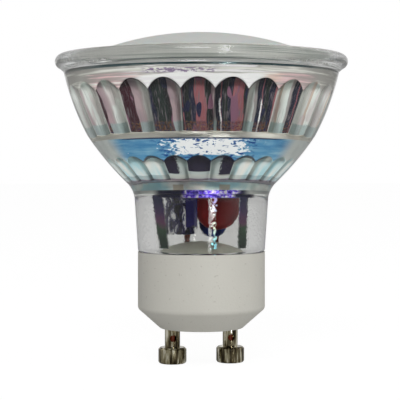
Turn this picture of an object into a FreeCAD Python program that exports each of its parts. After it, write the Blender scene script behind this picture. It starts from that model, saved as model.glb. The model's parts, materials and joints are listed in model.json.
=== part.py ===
"""GU10 spotlight bulb: pressed-glass reflector cup, frosted dome, driver in the neck, white base and two pins.

Millimetres, +Z up. The origin is the middle of the base's underside, halfway between the two pins,
which stand on the X axis. The glass rim and the dome are at the top.
"""
import FreeCAD, Part

import os
import re

import Sketcher

V = FreeCAD.Vector
Z_AXIS = V(0, 0, 1)

# Driving sizes: name, value in mm (or degrees, or a count), what it is
SIZES = [
    # Glass cup, outside, from the neck up
    ("neck_foot_round", 0.5, "rounded lower edge of the neck"),
    ("neck_length", 9.2, "base up to the neck's top"),
    ("neck_taper", 0.57, "how much wider the neck is at its top"),
    ("throat_flare", 2.3, "height of the fillet from neck to cone"),
    ("throat_step", 1.05, "how far that fillet flares"),
    ("throat_sag", 0.17, "how far it curves in from a straight line"),
    ("lower_tier", 8.2, "height of the lower cone"),
    ("lower_spread", 6.9, "how far the lower cone flares"),
    ("lower_bulge", 0.2, "how far the lower cone bows outwards"),
    ("upper_tier", 13.7, "shoulder up to the rim's top face"),
    ("upper_bulge", 0.4, "how far the upper cone bows outwards"),
    ("groove_wall", 1.0, "glass between the lens seat and the groove"),
    ("groove_drop", 2.8, "top face down to the groove under the lip"),
    ("lip_wall", 1.8, "glass between the lens seat and the lip's upper edge"),
    ("lip_drop", 1.0, "top face down to the widest line"),
    ("lip_depth", 2.2, "top face down to the lip's underside"),
    ("lip_foot_wall", 1.7, "glass between the lens seat and the lip's underside"),
    ("rim_wall", 2.5, "glass between the lens seat and the widest line"),
    # Glass cup, inside
    ("lens_seat_radius", 22.5, "wall round the lens"),
    ("lens_seat_depth", 2.4, "top face down to the ledge under the LED board"),
    ("lens_ledge", 1.9, "width of that ledge"),
    ("upper_wall", 2.1, "wall of the upper cone between the flutes, level"),
    ("flute_count", 24, "flutes round each tier"),
    ("flute_turn", 5.5, "turn of the first flute from +X, degrees"),
    ("crown_depth", 4.7, "top face down to the upper arches"),
    ("upper_ledge_lift", 0.5, "shoulder up to the ledge where the upper flutes end"),
    ("upper_flute_radius", 5.6, "curve of an upper flute"),
    ("upper_flute_lift", 0.95, "crest of an upper flute above the wall"),
    ("flute_root", 1.5, "how deep a flute's skin reaches into the glass"),
    ("flute_arc", 38.0, "half the turn of a flute's skin, degrees"),
    ("ring_wall", 2.9, "glass at the ring between the tiers"),
    ("ring_depth", 1.0, "height of that ring"),
    ("lower_wall", 2.1, "wall of the lower cone, level"),
    ("band_depth", 3.2, "shoulder down to the lower arches"),
    ("lower_ledge_lift", 1.1, "throat up to the ledge where the lower flutes end"),
    ("lower_flute_radius", 4.0, "curve of a lower flute"),
    ("lower_flute_lift", 0.6, "crest of a lower flute above the wall"),
    ("floor_wall", 2.7, "glass round the floor that carries the driver board"),
    ("floor_draft", 0.3, "how much wider the floor's recess is at its mouth"),
    ("floor_drop", 1.2, "throat down to that floor"),
    ("bore_top_wall", 3.45, "neck wall at the floor"),
    ("bore_foot_wall", 3.28, "neck wall at its foot"),
    ("spigot_length", 3.0, "glass spigot inside the base"),
    ("cement_gap", 0.3, "cement between spigot and base"),
    # Base
    ("base_height", 13.0, "height of the base"),
    ("base_radius", 10.88, "outside of the base"),
    ("base_wall", 1.58, "wall of the base's cup"),
    ("base_floor", 3.2, "thickness of the base's floor"),
    ("bevel_height", 3.35, "height of the bevelled foot"),
    ("foot_radius", 7.1, "flat underside"),
    ("bevel_round", 0.9, "rounding where wall and bevel meet"),
    ("foot_round", 0.24, "rounded edge of the underside"),
    # Contact pins
    ("pin_spacing", 10.0, "between the pins' axes"),
    ("pin_length", 6.05, "below the base"),
    ("head_radius", 2.4, "pin head"),
    ("head_height", 2.75, "pin head"),
    ("head_round", 0.45, "lower edge of the head"),
    ("head_chamfer", 0.3, "upper edge of the head"),
    ("shank_radius", 1.3, "pin shank"),
    ("pin_bore", 0.7, "bore of the hollow pin"),
    ("pin_tip_wall", 2.95, "solid end of the pin"),
    ("flange_radius", 2.1, "riveted flange inside the base"),
    ("flange_height", 0.5, "riveted flange inside the base"),
    ("cross_hole_radius", 0.58, "hole in the shank"),
    ("cross_hole_drop", 1.73, "underside of the base down to the hole"),
    # Lens
    ("lens_clearance", 0.5, "gap round the lens, filled by the seal"),
    ("dome_step", 2.5, "edge of the lens in to the foot of the dome"),
    ("dome_rise", 3.95, "apex above the rim"),
    ("dome_wall", 1.2, "thickness of the dome"),
    ("lens_flange", 3.2, "width of the flange"),
    # Boards and light chips
    ("led_board_thickness", 1.0, "aluminium-core board"),
    ("chip_count", 10, "light chips"),
    ("chip_ring", 14.0, "radius of their ring"),
    ("chip_length", 3.5, "radial"),
    ("chip_width", 2.8, "tangential"),
    ("chip_height", 0.7, "height"),
    ("driver_board_gap", 0.3, "round driver board in its recess"),
    ("driver_board_thickness", 1.0, "round driver board"),
    ("laid_out_radius", 9.5, "driver board that its parts are laid out for"),
    ("lead_radius", 0.25, "component lead"),
    ("lead_tail", 0.6, "lead that stands out of the board"),
    ("wire_radius", 0.5, "insulated wire"),
    # Wires and fill
    ("pin_wire_depth", 2.6, "end of a pin wire below the base"),
    ("pin_wire_turn_low", 5.2, "height of the wires' lower bend"),
    ("pin_wire_turn_high", 9.6, "height of the wires' upper bend"),
    ("pin_wire_bend", 1.5, "radius of the wires' bends"),
    ("led_hole_spacing", 5.0, "between the holes in the LED board"),
    ("led_hole_radius", 0.8, "holes in the LED board"),
    ("led_wire_rise", 4.7, "driver board up to the lower bend"),
    ("led_wire_drop", 6.0, "LED board down to the upper bend"),
    ("led_wire_bend", 2.5, "radius of the bends"),
    ("led_wire_tail", 0.5, "wire above the LED board"),
    ("fill_depth", 1.5, "base's rim down to the underside of the fill"),
    ("fill_lift", 0.2, "base's rim up to the fill's edge"),
    ("fill_dome", 1.8, "how far its top bulges"),
]

# Sizes of what the driver board carries, given for a board of laid_out_radius and following the real one
BOARD_LAYOUT = [
    # Parts that hang from the driver board
    ("capacitor_radius", 2.5, "electrolytic capacitor"),
    ("capacitor_length", 6.8, "electrolytic capacitor"),
    ("capacitor_x", -3.7, "its axis"),
    ("capacitor_y", 0.0, "its axis"),
    ("capacitor_pitch", 2.0, "between its leads"),
    ("film_width", 7.0, "film capacitor"),
    ("film_depth", 3.2, "film capacitor"),
    ("film_length", 6.0, "film capacitor"),
    ("film_x", 2.2, "its middle"),
    ("film_y", -2.7, "its middle"),
    ("film_pitch", 5.0, "between its leads"),
    ("varistor_radius", 2.4, "blue disc"),
    ("varistor_depth", 1.8, "blue disc"),
    ("varistor_x", 2.1, "its middle"),
    ("varistor_y", 0.4, "its middle"),
    ("varistor_drop", 5.3, "board down to its centre"),
    ("varistor_pitch", 2.5, "between its leads"),
    ("hang_gap", 0.3, "board down to a hanging part"),
    # Parts on top of the driver board
    ("bridge_x", -4.3, "bridge rectifier"),
    ("bridge_y", -4.6, "bridge rectifier"),
    ("bridge_length", 4.6, "bridge rectifier"),
    ("bridge_width", 3.8, "bridge rectifier"),
    ("bridge_height", 1.5, "bridge rectifier"),
    ("ic_x", 2.2, "driver chip"),
    ("ic_y", -5.8, "driver chip"),
    ("ic_length", 2.9, "driver chip"),
    ("ic_width", 1.6, "driver chip"),
    ("ic_height", 1.1, "driver chip"),
    ("leg_size", 0.4, "chip leg"),
    ("leg_reach", 0.6, "how far a chip leg stands out"),
    ("choke_x", -5.6, "drum choke"),
    ("choke_y", 4.4, "drum choke"),
    ("choke_radius", 2.2, "its flanges"),
    ("choke_core_radius", 1.0, "its core"),
    ("choke_height", 5.5, "drum choke"),
    ("choke_flange", 0.8, "thickness of a flange"),
    ("choke_winding_radius", 1.9, "wound copper"),
    ("fuse_x", 6.3, "fusible resistor"),
    ("fuse_y", 2.6, "fusible resistor"),
    ("fuse_radius", 1.1, "fusible resistor"),
    ("fuse_length", 5.2, "fusible resistor"),
    ("fuse_lift", 0.1, "board up to the resistor"),
    ("fuse_pitch", 7.6, "between its leads"),
    ("fuse_bend", 0.6, "bend of its leads"),
    ("resistor_length", 2.0, "chip resistor"),
    ("resistor_width", 1.25, "chip resistor"),
    ("resistor_height", 0.55, "chip resistor"),
    ("solder_radius", 0.8, "foot of a solder cone"),
    # Wires, seen from above
    ("pin_wire_left_x", -2.0, "where the left pin wire rises"),
    ("pin_wire_left_y", 4.6, "where the left pin wire rises"),
    ("pin_wire_right_x", 3.4, "where the right pin wire rises"),
    ("pin_wire_right_y", 4.4, "where the right pin wire rises"),
    ("led_wire_spacing", 1.8, "between the LED wires on the driver board"),
    ("led_wire_x", 0.7, "middle of that pair"),
    ("led_wire_y", 2.6, "middle of that pair"),
]

# Sizes that follow from the driving ones: each height stands on the one below it
FOLLOWING = {
    "neck_foot_radius": "base_radius",
    "neck_top_radius": "(neck_foot_radius + neck_taper)",
    "neck_top_height": "(base_height + neck_length)",
    "throat_radius": "(neck_top_radius + throat_step)",
    "throat_height": "(neck_top_height + throat_flare)",
    "shoulder_radius": "(throat_radius + lower_spread)",
    "shoulder_height": "(throat_height + lower_tier)",
    "groove_radius": "(lens_seat_radius + groove_wall)",
    "groove_height": "(rim_top - groove_drop)",
    "rim_radius": "(lens_seat_radius + rim_wall)",
    "rim_top": "(shoulder_height + upper_tier)",
    "lens_seat_height": "(rim_top - lens_seat_depth)",
    "lens_edge_radius": "(lens_seat_radius - lens_clearance)",
    "dome_edge_radius": "(lens_edge_radius - dome_step)",
    "upper_flute_top": "(rim_top - crown_depth)",
    "upper_ledge_height": "(shoulder_height + upper_ledge_lift)",
    "ring_radius": "(shoulder_radius - ring_wall)",
    "ring_foot": "(upper_ledge_height - ring_depth)",
    "lower_flute_top": "(shoulder_height - band_depth)",
    "lower_ledge_height": "(throat_height + lower_ledge_lift)",
    "floor_radius": "(throat_radius - floor_wall)",
    "floor_height": "(throat_height - floor_drop)",
    "floor_mouth_radius": "(floor_radius + floor_draft)",
    "bore_top_radius": "(neck_top_radius - bore_top_wall)",
    "bore_foot_radius": "(neck_foot_radius - bore_foot_wall)",
    "spigot_end": "(base_height - spigot_length)",
    "cup_radius": "(base_radius - base_wall)",
    "spigot_radius": "(cup_radius - cement_gap)",
    "driver_board_radius": "(floor_radius - driver_board_gap)",
    "board_share": "(driver_board_radius / laid_out_radius)",
    "driver_board_top": "(floor_height + driver_board_thickness)",
    "led_board_top": "(lens_seat_height + led_board_thickness)",
    "hang_height": "(floor_height - hang_gap)",
    "led_wire_turn_low": "(driver_board_top + led_wire_rise)",
    "led_wire_turn_high": "(lens_seat_height - led_wire_drop)",
    "fill_foot": "(base_height - fill_depth)",
    "fill_edge": "(base_height + fill_lift)",
}

# Places of the chip resistors on the driver board: x, y, as shares of its radius
RESISTOR_PLACES = [
    (-0.06316, 0.77895),
    (0.27368, 0.77895),
    (-0.77895, -0.06316),
    (0.77895, -0.37895),
    (-0.07368, -0.86316),
]

doc = FreeCAD.newDocument("spotlight_bulb")
sheet = doc.addObject("Spreadsheet::Sheet", "Sizes")
for row, (alias, value, note) in enumerate(SIZES + BOARD_LAYOUT, start=1):
    sheet.set(f"A{row}", alias)
    sheet.set(f"B{row}", str(value))
    sheet.set(f"C{row}", note)
    sheet.setAlias(f"B{row}", alias)
doc.recompute()

ALIASES = {alias for alias, value, note in SIZES}
LAID_OUT = {alias for alias, value, note in BOARD_LAYOUT}
pieces = []


def bound(text):
    """An expression in which each size is read from the sheet, and each following size is written out."""

    def spelled(word):
        name = word[0]
        if name in FOLLOWING:
            return bound(FOLLOWING[name])
        if name in LAID_OUT:
            return f"(Sizes.{name} * {bound('board_share')})"
        return f"Sizes.{name}" if name in ALIASES else name

    return re.sub(r"[a-z_]+", spelled, text)


def size(text):
    """The present value of an expression of sizes, as a plain number."""
    value = sheet.evalExpression(bound(text))
    return float(getattr(value, "Value", value))


def tie(thing, **properties):
    """Bind properties of an object to expressions; a double underscore stands for a dot."""
    for name, text in properties.items():
        thing.setExpression(name.replace("__", "."), bound(text))


def place(thing, x="0", y="0", z="0", turn=None):
    """Put a piece at x, y, z, turned about Z."""
    thing.Placement = FreeCAD.Placement(V(), FreeCAD.Rotation(Z_AXIS, 1.0 if turn else 0.0))
    tie(thing, Placement__Base__x=x, Placement__Base__y=y, Placement__Base__z=z)
    if turn:
        tie(thing, Placement__Rotation__Angle=turn)


def new_body(label):
    """An empty body that will be one piece of the lamp."""
    body = doc.addObject("PartDesign::Body", label)
    body.Label = label
    pieces.append(body)
    return body


def keep(thing, label):
    """Name a finished object as one piece of the lamp."""
    thing.Label = label
    pieces.append(thing)
    return thing


def new_sketch(body, plane, name, lift=None):
    """A sketch on one of the body's own planes, lifted off it where asked."""
    sketch = body.newObject("Sketcher::SketchObject", name)
    origin_plane = next(item for item in body.Origin.OriginFeatures if item.Role == plane)
    sketch.AttachmentSupport = [(origin_plane, "")]
    sketch.MapMode = "FlatFace"
    if lift:
        tie(sketch, AttachmentOffset__Base__z=lift)
    return sketch


def pin_point(sketch, geometry, end, x, y):
    """Hold one point of a sketch at x, y."""
    for kind, text in (("DistanceX", x), ("DistanceY", y)):
        index = sketch.addConstraint(Sketcher.Constraint(kind, -1, 1, geometry, end, size(text)))
        sketch.setExpression(f"Constraints[{index}]", bound(text))


def outline(sketch, start, *steps, closed=True):
    """A run of straight edges (x, y) and arcs (through x, through y, end x, end y), closed unless told."""
    here = V(size(start[0]), size(start[1]), 0)
    first = here
    tips = []
    route = list(steps)
    if closed:
        route.append(start)
    for number, step in enumerate(route):
        last = closed and number == len(route) - 1
        there = first if last else V(size(step[-2]), size(step[-1]), 0)
        if len(step) == 4:
            via = V(size(step[0]), size(step[1]), 0)
            edge = sketch.addGeometry(Part.Arc(here, via, there), False)
            mark = sketch.addGeometry(Part.Point(via), True)
            pin_point(sketch, mark, 1, step[0], step[1])
            sketch.addConstraint(Sketcher.Constraint("PointOnObject", mark, 1, edge))
            forward = (via - here).cross(there - via).z > 0
        else:
            edge = sketch.addGeometry(Part.LineSegment(here, there), False)
            forward = True
        tips.append((edge, 1 if forward else 2, 2 if forward else 1))
        if not last:
            pin_point(sketch, edge, tips[-1][2], step[-2], step[-1])
        here = there
    for one, other in zip(tips, tips[1:] + tips[:1]):
        if closed or other is not tips[0]:
            sketch.addConstraint(Sketcher.Constraint("Coincident", one[0], one[2], other[0], other[1]))
    if not closed:
        pin_point(sketch, tips[0][0], tips[0][1], start[0], start[1])
    return sketch


def circles(sketch, *rings):
    """Circles, each given as centre x, centre y, radius."""
    for x, y, radius in rings:
        ring = Part.Circle(V(size(x), size(y), 0), Z_AXIS, size(radius))
        edge = sketch.addGeometry(ring, False)
        pin_point(sketch, edge, 3, x, y)
        index = sketch.addConstraint(Sketcher.Constraint("Radius", edge, size(radius)))
        sketch.setExpression(f"Constraints[{index}]", bound(radius))
    return sketch


def turned(body, name, start, *steps, kind="PartDesign::Revolution"):
    """An outline in the X-Z plane turned about Z, added or (as a Groove) cut away."""
    sketch = outline(new_sketch(body, "XZ_Plane", name + "_outline"), start, *steps)
    feature = body.newObject(kind, name)
    feature.Profile = sketch
    feature.ReferenceAxis = (sketch, ["V_Axis"])
    feature.Angle = 360
    doc.recompute()
    return feature


def pad(body, sketch, name, length, both_ways=False):
    """A sketch pushed out into a solid."""
    feature = body.newObject("PartDesign::Pad", name)
    feature.Profile = sketch
    feature.SideType = "Symmetric" if both_ways else "One side"
    tie(feature, Length=length)
    return feature


def flutes(body, name, foot, top, radius, lift):
    """Convex flutes pressed on the wall: each the inner skin of a round-ended cylinder along the wall.

    foot and top are (radius, height) of the inner wall. The crest of a flute stands lift inside
    that wall, its round end sinks back to the wall at the arch, and neighbours meet in a sharp valley.
    """
    rise = f"({top[1]} - ({foot[1]}))"
    run = f"({top[0]} - ({foot[0]}))"
    slope = f"sqrt({rise}^2 + {run}^2)"
    along = (f"({run} / {slope})", f"({rise} / {slope})")
    out = (along[1], f"(-1 * {along[0]})")
    back = f"({radius} - {lift})"
    # half length of the arch that the round end leaves on the wall
    reach = f"sqrt({radius}^2 - {back}^2)"
    low = (f"{foot[0]} + {out[0]} * {back}", f"{foot[1]} + {out[1]} * {back}")
    ball = (
        f"{top[0]} + {out[0]} * {back} - {along[0]} * {reach}",
        f"{top[1]} + {out[1]} * {back} - {along[1]} * {reach}",
    )
    # the skin reaches flute_root into the glass, and its round end turns flute_arc over the arch
    deep = f"({radius} - flute_root)"

    def skin(centre, distance, angle):
        """A point at a distance from a centre, turned from the crest towards the arch."""
        return tuple(
            f"{centre[axis]} + {distance} * ({along[axis]} * sin({angle}) - {out[axis]} * cos({angle}))"
            for axis in (0, 1)
        )

    sketch = outline(
        new_sketch(body, "XZ_Plane", name + "_outline"),
        skin(low, deep, "0"),
        skin(low, radius, "0"),
        skin(ball, radius, "0"),
        skin(ball, radius, "flute_arc / 2") + skin(ball, radius, "flute_arc"),
        skin(ball, deep, "flute_arc"),
        skin(ball, deep, "flute_arc / 2") + skin(ball, deep, "0"),
    )
    axis = sketch.addGeometry(
        Part.LineSegment(V(size(low[0]), size(low[1]), 0), V(size(ball[0]), size(ball[1]), 0)), True
    )
    pin_point(sketch, axis, 1, *low)
    pin_point(sketch, axis, 2, *ball)
    flute = body.newObject("PartDesign::Revolution", name)
    flute.Profile = sketch
    flute.ReferenceAxis = (sketch, ["Axis0"])
    flute.Midplane = True
    tie(flute, Angle="2 * flute_arc")
    doc.recompute()
    ring = body.newObject("PartDesign::PolarPattern", name + "_ring")
    ring.Originals = [flute]
    ring.Axis = (sketch, ["V_Axis"])
    ring.Angle = 360
    tie(ring, Occurrences="flute_count")
    body.Tip = ring
    doc.recompute()
    return ring


# Radii of the cup's inner wall, a named distance inside the outer cone
def upper_inner(height):
    """Inner wall of the upper tier: the outer cone's chord less the wall."""
    return (
        f"(shoulder_radius - upper_wall + (groove_radius - shoulder_radius)"
        f" * ({height} - shoulder_height) / (groove_height - shoulder_height))"
    )


def lower_inner(height):
    """Inner wall of the lower tier, in the same way."""
    return (
        f"(shoulder_radius - lower_wall + (throat_radius - shoulder_radius)"
        f" * ({height} - shoulder_height) / (throat_height - shoulder_height))"
    )


def bore(height):
    """Bore of the neck, which tapers down to the spigot's end."""
    return (
        f"(bore_foot_radius + (bore_top_radius - bore_foot_radius)"
        f" * ({height} - spigot_end) / (floor_height - spigot_end))"
    )


def glass_body():
    """The pressed-glass cup: rim, two fluted tiers, the ring between them, and the thick clear neck."""
    body = new_body("glass_body")
    mid = "0.5 * ({} + {})".format
    foot_round = "neck_foot_round * (1 - cos(45))"
    turned(
        body,
        "cup",
        (bore("spigot_end"), "spigot_end"),
        ("spigot_radius", "spigot_end"),
        ("spigot_radius", "base_height"),
        ("neck_foot_radius - neck_foot_round", "base_height"),
        (
            f"neck_foot_radius - {foot_round}",
            f"base_height + {foot_round}",
            "neck_foot_radius",
            "base_height + neck_foot_round",
        ),
        ("neck_top_radius", "neck_top_height"),
        (
            mid("neck_top_radius", "throat_radius") + " - throat_sag",
            mid("neck_top_height", "throat_height") + " + 0.3 * throat_sag",
            "throat_radius",
            "throat_height",
        ),
        (
            mid("throat_radius", "shoulder_radius") + " + lower_bulge",
            mid("throat_height", "shoulder_height") + " - lower_bulge",
            "shoulder_radius",
            "shoulder_height",
        ),
        (
            mid("shoulder_radius", "groove_radius") + " + upper_bulge",
            mid("shoulder_height", "groove_height") + " - 0.3 * upper_bulge",
            "groove_radius",
            "groove_height",
        ),
        ("lens_seat_radius + lip_foot_wall", "rim_top - lip_depth"),
        (
            "rim_radius",
            "rim_top - lip_drop",
            "lens_seat_radius + lip_wall",
            "rim_top",
        ),
        ("lens_seat_radius", "rim_top"),
        ("lens_seat_radius", "lens_seat_height"),
        ("lens_seat_radius - lens_ledge", "lens_seat_height"),
        (upper_inner("upper_flute_top"), "upper_flute_top"),
        (upper_inner("upper_ledge_height"), "upper_ledge_height"),
        ("ring_radius", "upper_ledge_height"),
        ("ring_radius", "ring_foot"),
        (lower_inner("lower_flute_top"), "lower_flute_top"),
        (lower_inner("lower_ledge_height"), "lower_ledge_height"),
        ("floor_mouth_radius", "lower_ledge_height"),
        ("floor_radius", "floor_height"),
        ("bore_top_radius", "floor_height"),
    )
    flutes(
        body,
        "upper_flute",
        (upper_inner("upper_ledge_height"), "upper_ledge_height"),
        (upper_inner("upper_flute_top"), "upper_flute_top"),
        "upper_flute_radius",
        "upper_flute_lift",
    )
    flutes(
        body,
        "lower_flute",
        (lower_inner("lower_ledge_height"), "lower_ledge_height"),
        (lower_inner("lower_flute_top"), "lower_flute_top"),
        "lower_flute_radius",
        "lower_flute_lift",
    )
    place(body, turn="flute_turn")


def front_lens():
    """The frosted dome: a shallow cap of even thickness, with a flat flange under its edge."""
    body = new_body("front_lens")
    ball = "((dome_edge_radius^2 + dome_rise^2) / (2 * dome_rise))"
    centre = f"(rim_top + dome_rise - {ball})"
    inner = f"({ball} - dome_wall)"
    flange_in = "(lens_edge_radius - lens_flange)"
    turned(
        body,
        "dome",
        ("0", f"{centre} + {inner}"),
        (
            f"0.5 * {flange_in}",
            f"{centre} + sqrt({inner}^2 - (0.5 * {flange_in})^2)",
            flange_in,
            f"{centre} + sqrt({inner}^2 - {flange_in}^2)",
        ),
        (flange_in, "led_board_top"),
        ("lens_edge_radius", "led_board_top"),
        ("lens_edge_radius", "rim_top"),
        ("dome_edge_radius", "rim_top"),
        (
            "0.5 * dome_edge_radius",
            f"{centre} + sqrt({ball}^2 - (0.5 * dome_edge_radius)^2)",
            "0",
            "rim_top + dome_rise",
        ),
    )


def lens_seal():
    """The bead of clear silicone that fills the gap round the lens."""
    body = new_body("lens_seal")
    turned(
        body,
        "bead",
        ("lens_edge_radius", "led_board_top"),
        ("lens_seat_radius", "led_board_top"),
        ("lens_seat_radius", "rim_top - 0.5 * lens_clearance"),
        (
            "lens_seat_radius - 0.5 * lens_clearance",
            "rim_top - 0.2 * lens_clearance",
            "lens_edge_radius",
            "rim_top - 0.5 * lens_clearance",
        ),
    )


def gu10_base():
    """The white base: a cup with a bevelled foot and a hole for each pin."""
    body = new_body("gu10_base")
    turned(
        body,
        "cup",
        ("0", "0"),
        ("foot_radius", "0"),
        ("base_radius", "bevel_height"),
        ("base_radius", "base_height"),
        ("cup_radius", "base_height"),
        ("cup_radius", "base_floor"),
        ("0", "base_floor"),
    )
    holes = circles(
        new_sketch(body, "XY_Plane", "pin_holes_outline"),
        ("pin_spacing / 2", "0", "shank_radius"),
        ("-pin_spacing / 2", "0", "shank_radius"),
    )
    cut = body.newObject("PartDesign::Pocket", "pin_holes")
    cut.Profile = holes
    cut.Reversed = True
    cut.Type = "Length"
    tie(cut, Length="base_floor")
    doc.recompute()
    corner = [
        f"Edge{number}"
        for number, edge in enumerate(cut.Shape.Edges, start=1)
        if is_ring(edge, size("base_radius"), size("bevel_height"))
    ]
    rounded = body.newObject("PartDesign::Fillet", "shoulder_round")
    rounded.Base = (cut, corner)
    tie(rounded, Radius="bevel_round")
    doc.recompute()
    foot = [
        f"Edge{number}"
        for number, edge in enumerate(rounded.Shape.Edges, start=1)
        if is_ring(edge, size("foot_radius"), 0.0)
    ]
    soft = body.newObject("PartDesign::Fillet", "foot_round")
    soft.Base = (rounded, foot)
    tie(soft, Radius="foot_round")


def is_ring(edge, radius, height):
    """Whether an edge is the level circle of that radius about Z at that height."""
    box = edge.BoundBox
    level = abs(box.ZMin - height) < 1e-4 and abs(box.ZMax - height) < 1e-4
    return level and abs(box.XMax - radius) < 1e-3 and isinstance(edge.Curve, Part.Circle)


def contact_pin(label, side):
    """A hollow turned pin: shank, head, riveted inner flange, and a cross hole in the front of the shank.

    Drawn upwards from the tip of its head.
    """
    body = new_body(label)
    root = "pin_length + base_floor"
    turned(
        body,
        "turning",
        ("0", "0"),
        ("head_radius - head_round", "0"),
        (
            "head_radius - head_round * (1 - cos(45))",
            "head_round * (1 - cos(45))",
            "head_radius",
            "head_round",
        ),
        ("head_radius", "head_height - head_chamfer"),
        ("head_radius - head_chamfer", "head_height"),
        ("shank_radius", "head_height"),
        ("shank_radius", root),
        ("flange_radius", root),
        ("flange_radius", root + " + flange_height"),
        ("pin_bore", root + " + flange_height"),
        ("pin_bore", "pin_tip_wall"),
        ("0", "pin_tip_wall"),
    )
    hole = circles(
        new_sketch(body, "XZ_Plane", "cross_hole_outline"),
        ("0", "pin_length - cross_hole_drop", "cross_hole_radius"),
    )
    cut = body.newObject("PartDesign::Pocket", "cross_hole")
    cut.Profile = hole
    cut.Reversed = True
    cut.Type = "Length"
    tie(cut, Length="2 * shank_radius")
    place(body, x=f"{side} * pin_spacing / 2", z="-pin_length")


def led_board():
    """The round aluminium-core board on the glass ledge, with a hole for each wire."""
    body = new_body("led_board")
    disc = circles(
        new_sketch(body, "XY_Plane", "disc_outline", "lens_seat_height"),
        ("0", "0", "lens_seat_radius - 0.5 * lens_clearance"),
        ("led_hole_spacing / 2", "0", "led_hole_radius"),
        ("-led_hole_spacing / 2", "0", "led_hole_radius"),
    )
    pad(body, disc, "disc", "led_board_thickness")


def led_chips():
    """The ring of light chips: low boxes that all face the dome."""
    body = new_body("led_chips")
    body.AllowCompound = True
    sketch = outline(
        new_sketch(body, "XY_Plane", "chip_outline", "led_board_top"),
        ("chip_ring - 0.5 * chip_length", "-0.5 * chip_width"),
        ("chip_ring + 0.5 * chip_length", "-0.5 * chip_width"),
        ("chip_ring + 0.5 * chip_length", "0.5 * chip_width"),
        ("chip_ring - 0.5 * chip_length", "0.5 * chip_width"),
    )
    chip = pad(body, sketch, "chip", "chip_height")
    doc.recompute()
    ring = body.newObject("PartDesign::PolarPattern", "chip_circle")
    ring.Originals = [chip]
    ring.Axis = (sketch, ["N_Axis"])
    ring.Angle = 360
    tie(ring, Occurrences="chip_count")
    body.Tip = ring


def lead_places(name):
    """The two lead places of a part whose leads lie along X: (x, y) of each."""
    return [(f"{name}_x {sign} 0.5 * {name}_pitch", f"{name}_y") for sign in ("-", "+")]


FUSE_PLACES = [("fuse_x", f"fuse_y {sign} 0.5 * fuse_pitch") for sign in ("-", "+")]
HANGING = ("capacitor", "film", "varistor")
LEAD_PLACES = [spot for name in HANGING for spot in lead_places(name)] + FUSE_PLACES
PIN_WIRE_PLACES = [(f"pin_wire_{side}_x", f"pin_wire_{side}_y") for side in ("left", "right")]
LED_WIRE_PLACES = [(f"led_wire_x {sign} 0.5 * led_wire_spacing", "led_wire_y") for sign in ("-", "+")]
LED_HOLE_PLACES = [(f"{sign} 0.5 * led_hole_spacing", "0") for sign in ("-", "")]


def driver_board():
    """The round driver board on the floor of the cup, drilled for every lead and both pin wires."""
    body = new_body("driver_board")
    disc = circles(
        new_sketch(body, "XY_Plane", "disc_outline", "floor_height"),
        ("0", "0", "driver_board_radius"),
        *[(x, y, "lead_radius") for x, y in LEAD_PLACES],
        *[(x, y, "wire_radius") for x, y in PIN_WIRE_PLACES],
    )
    pad(body, disc, "disc", "driver_board_thickness")


def solder(label, joints):
    """Solder cones, each round one lead or wire: (x, y, height of its foot, radius of the lead)."""
    cones = []
    for number, (x, y, foot, lead) in enumerate(joints, start=1):
        cone = doc.addObject("Part::Cone", f"{label}_cone_{number}")
        tie(cone, Radius1="solder_radius", Radius2=f"{lead} + 0.1 * solder_radius", Height="lead_tail")
        hole = doc.addObject("Part::Cylinder", f"{label}_lead_{number}")
        tie(hole, Radius=lead, Height="lead_tail")
        for part in (cone, hole):
            place(part, x, y, foot)
        cut = doc.addObject("Part::Cut", f"{label}_joint_{number}")
        cut.Base = cone
        cut.Tool = hole
        cones.append(cut)
    group = doc.addObject("Part::Compound", label)
    group.Links = cones
    keep(group, label)


def straight_leads(label, name, foot):
    """Two straight leads from a hanging part, through the board, to their solder."""
    rods = []
    for number, (x, y) in enumerate(lead_places(name), start=1):
        rod = doc.addObject("Part::Cylinder", f"{label}_rod_{number}")
        tie(rod, Radius="lead_radius", Height=f"driver_board_top + lead_tail - ({foot})")
        place(rod, x, y, foot)
        rods.append(rod)
    group = doc.addObject("Part::Compound", label)
    group.Links = rods
    keep(group, label)


def electrolytic_capacitor():
    """The sleeved can, hanging from its seal end, with the crimped groove near that end."""
    body = new_body("electrolytic_capacitor")
    edge = "0.12 * capacitor_radius"
    neck = "0.9 * capacitor_radius"
    turned(
        body,
        "can",
        ("0", "0"),
        (f"capacitor_radius - {edge}", "0"),
        (
            f"capacitor_radius - {edge} * (1 - cos(45))",
            f"{edge} * (1 - cos(45))",
            "capacitor_radius",
            edge,
        ),
        ("capacitor_radius", "0.8 * capacitor_length"),
        (neck, "0.84 * capacitor_length", "capacitor_radius", "0.88 * capacitor_length"),
        ("capacitor_radius", f"capacitor_length - {edge}"),
        (neck, "capacitor_length"),
        ("0", "capacitor_length"),
    )
    place(body, "capacitor_x", "capacitor_y", "hang_height - capacitor_length")
    straight_leads("capacitor_leads", "capacitor", "hang_height")


def film_capacitor():
    """The red dipped capacitor: a flat block with a round lower end and soft edges, hung by two leads."""
    body = new_body("film_capacitor")
    half = "0.5 * film_width"
    sketch = outline(
        new_sketch(body, "XZ_Plane", "face_outline"),
        (f"-{half}", "0"),
        (f"-{half}", f"{half} - film_length"),
        ("0", "-film_length", half, f"{half} - film_length"),
        (half, "0"),
    )
    block = pad(body, sketch, "block", "film_depth", both_ways=True)
    doc.recompute()
    soft = body.newObject("PartDesign::Fillet", "dipped_edges")
    soft.Base = (block, ["Face5", "Face6"])
    tie(soft, Radius="0.35 * film_depth")
    place(body, "film_x", "film_y", "hang_height")
    straight_leads("film_capacitor_leads", "film", "hang_height")


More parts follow.
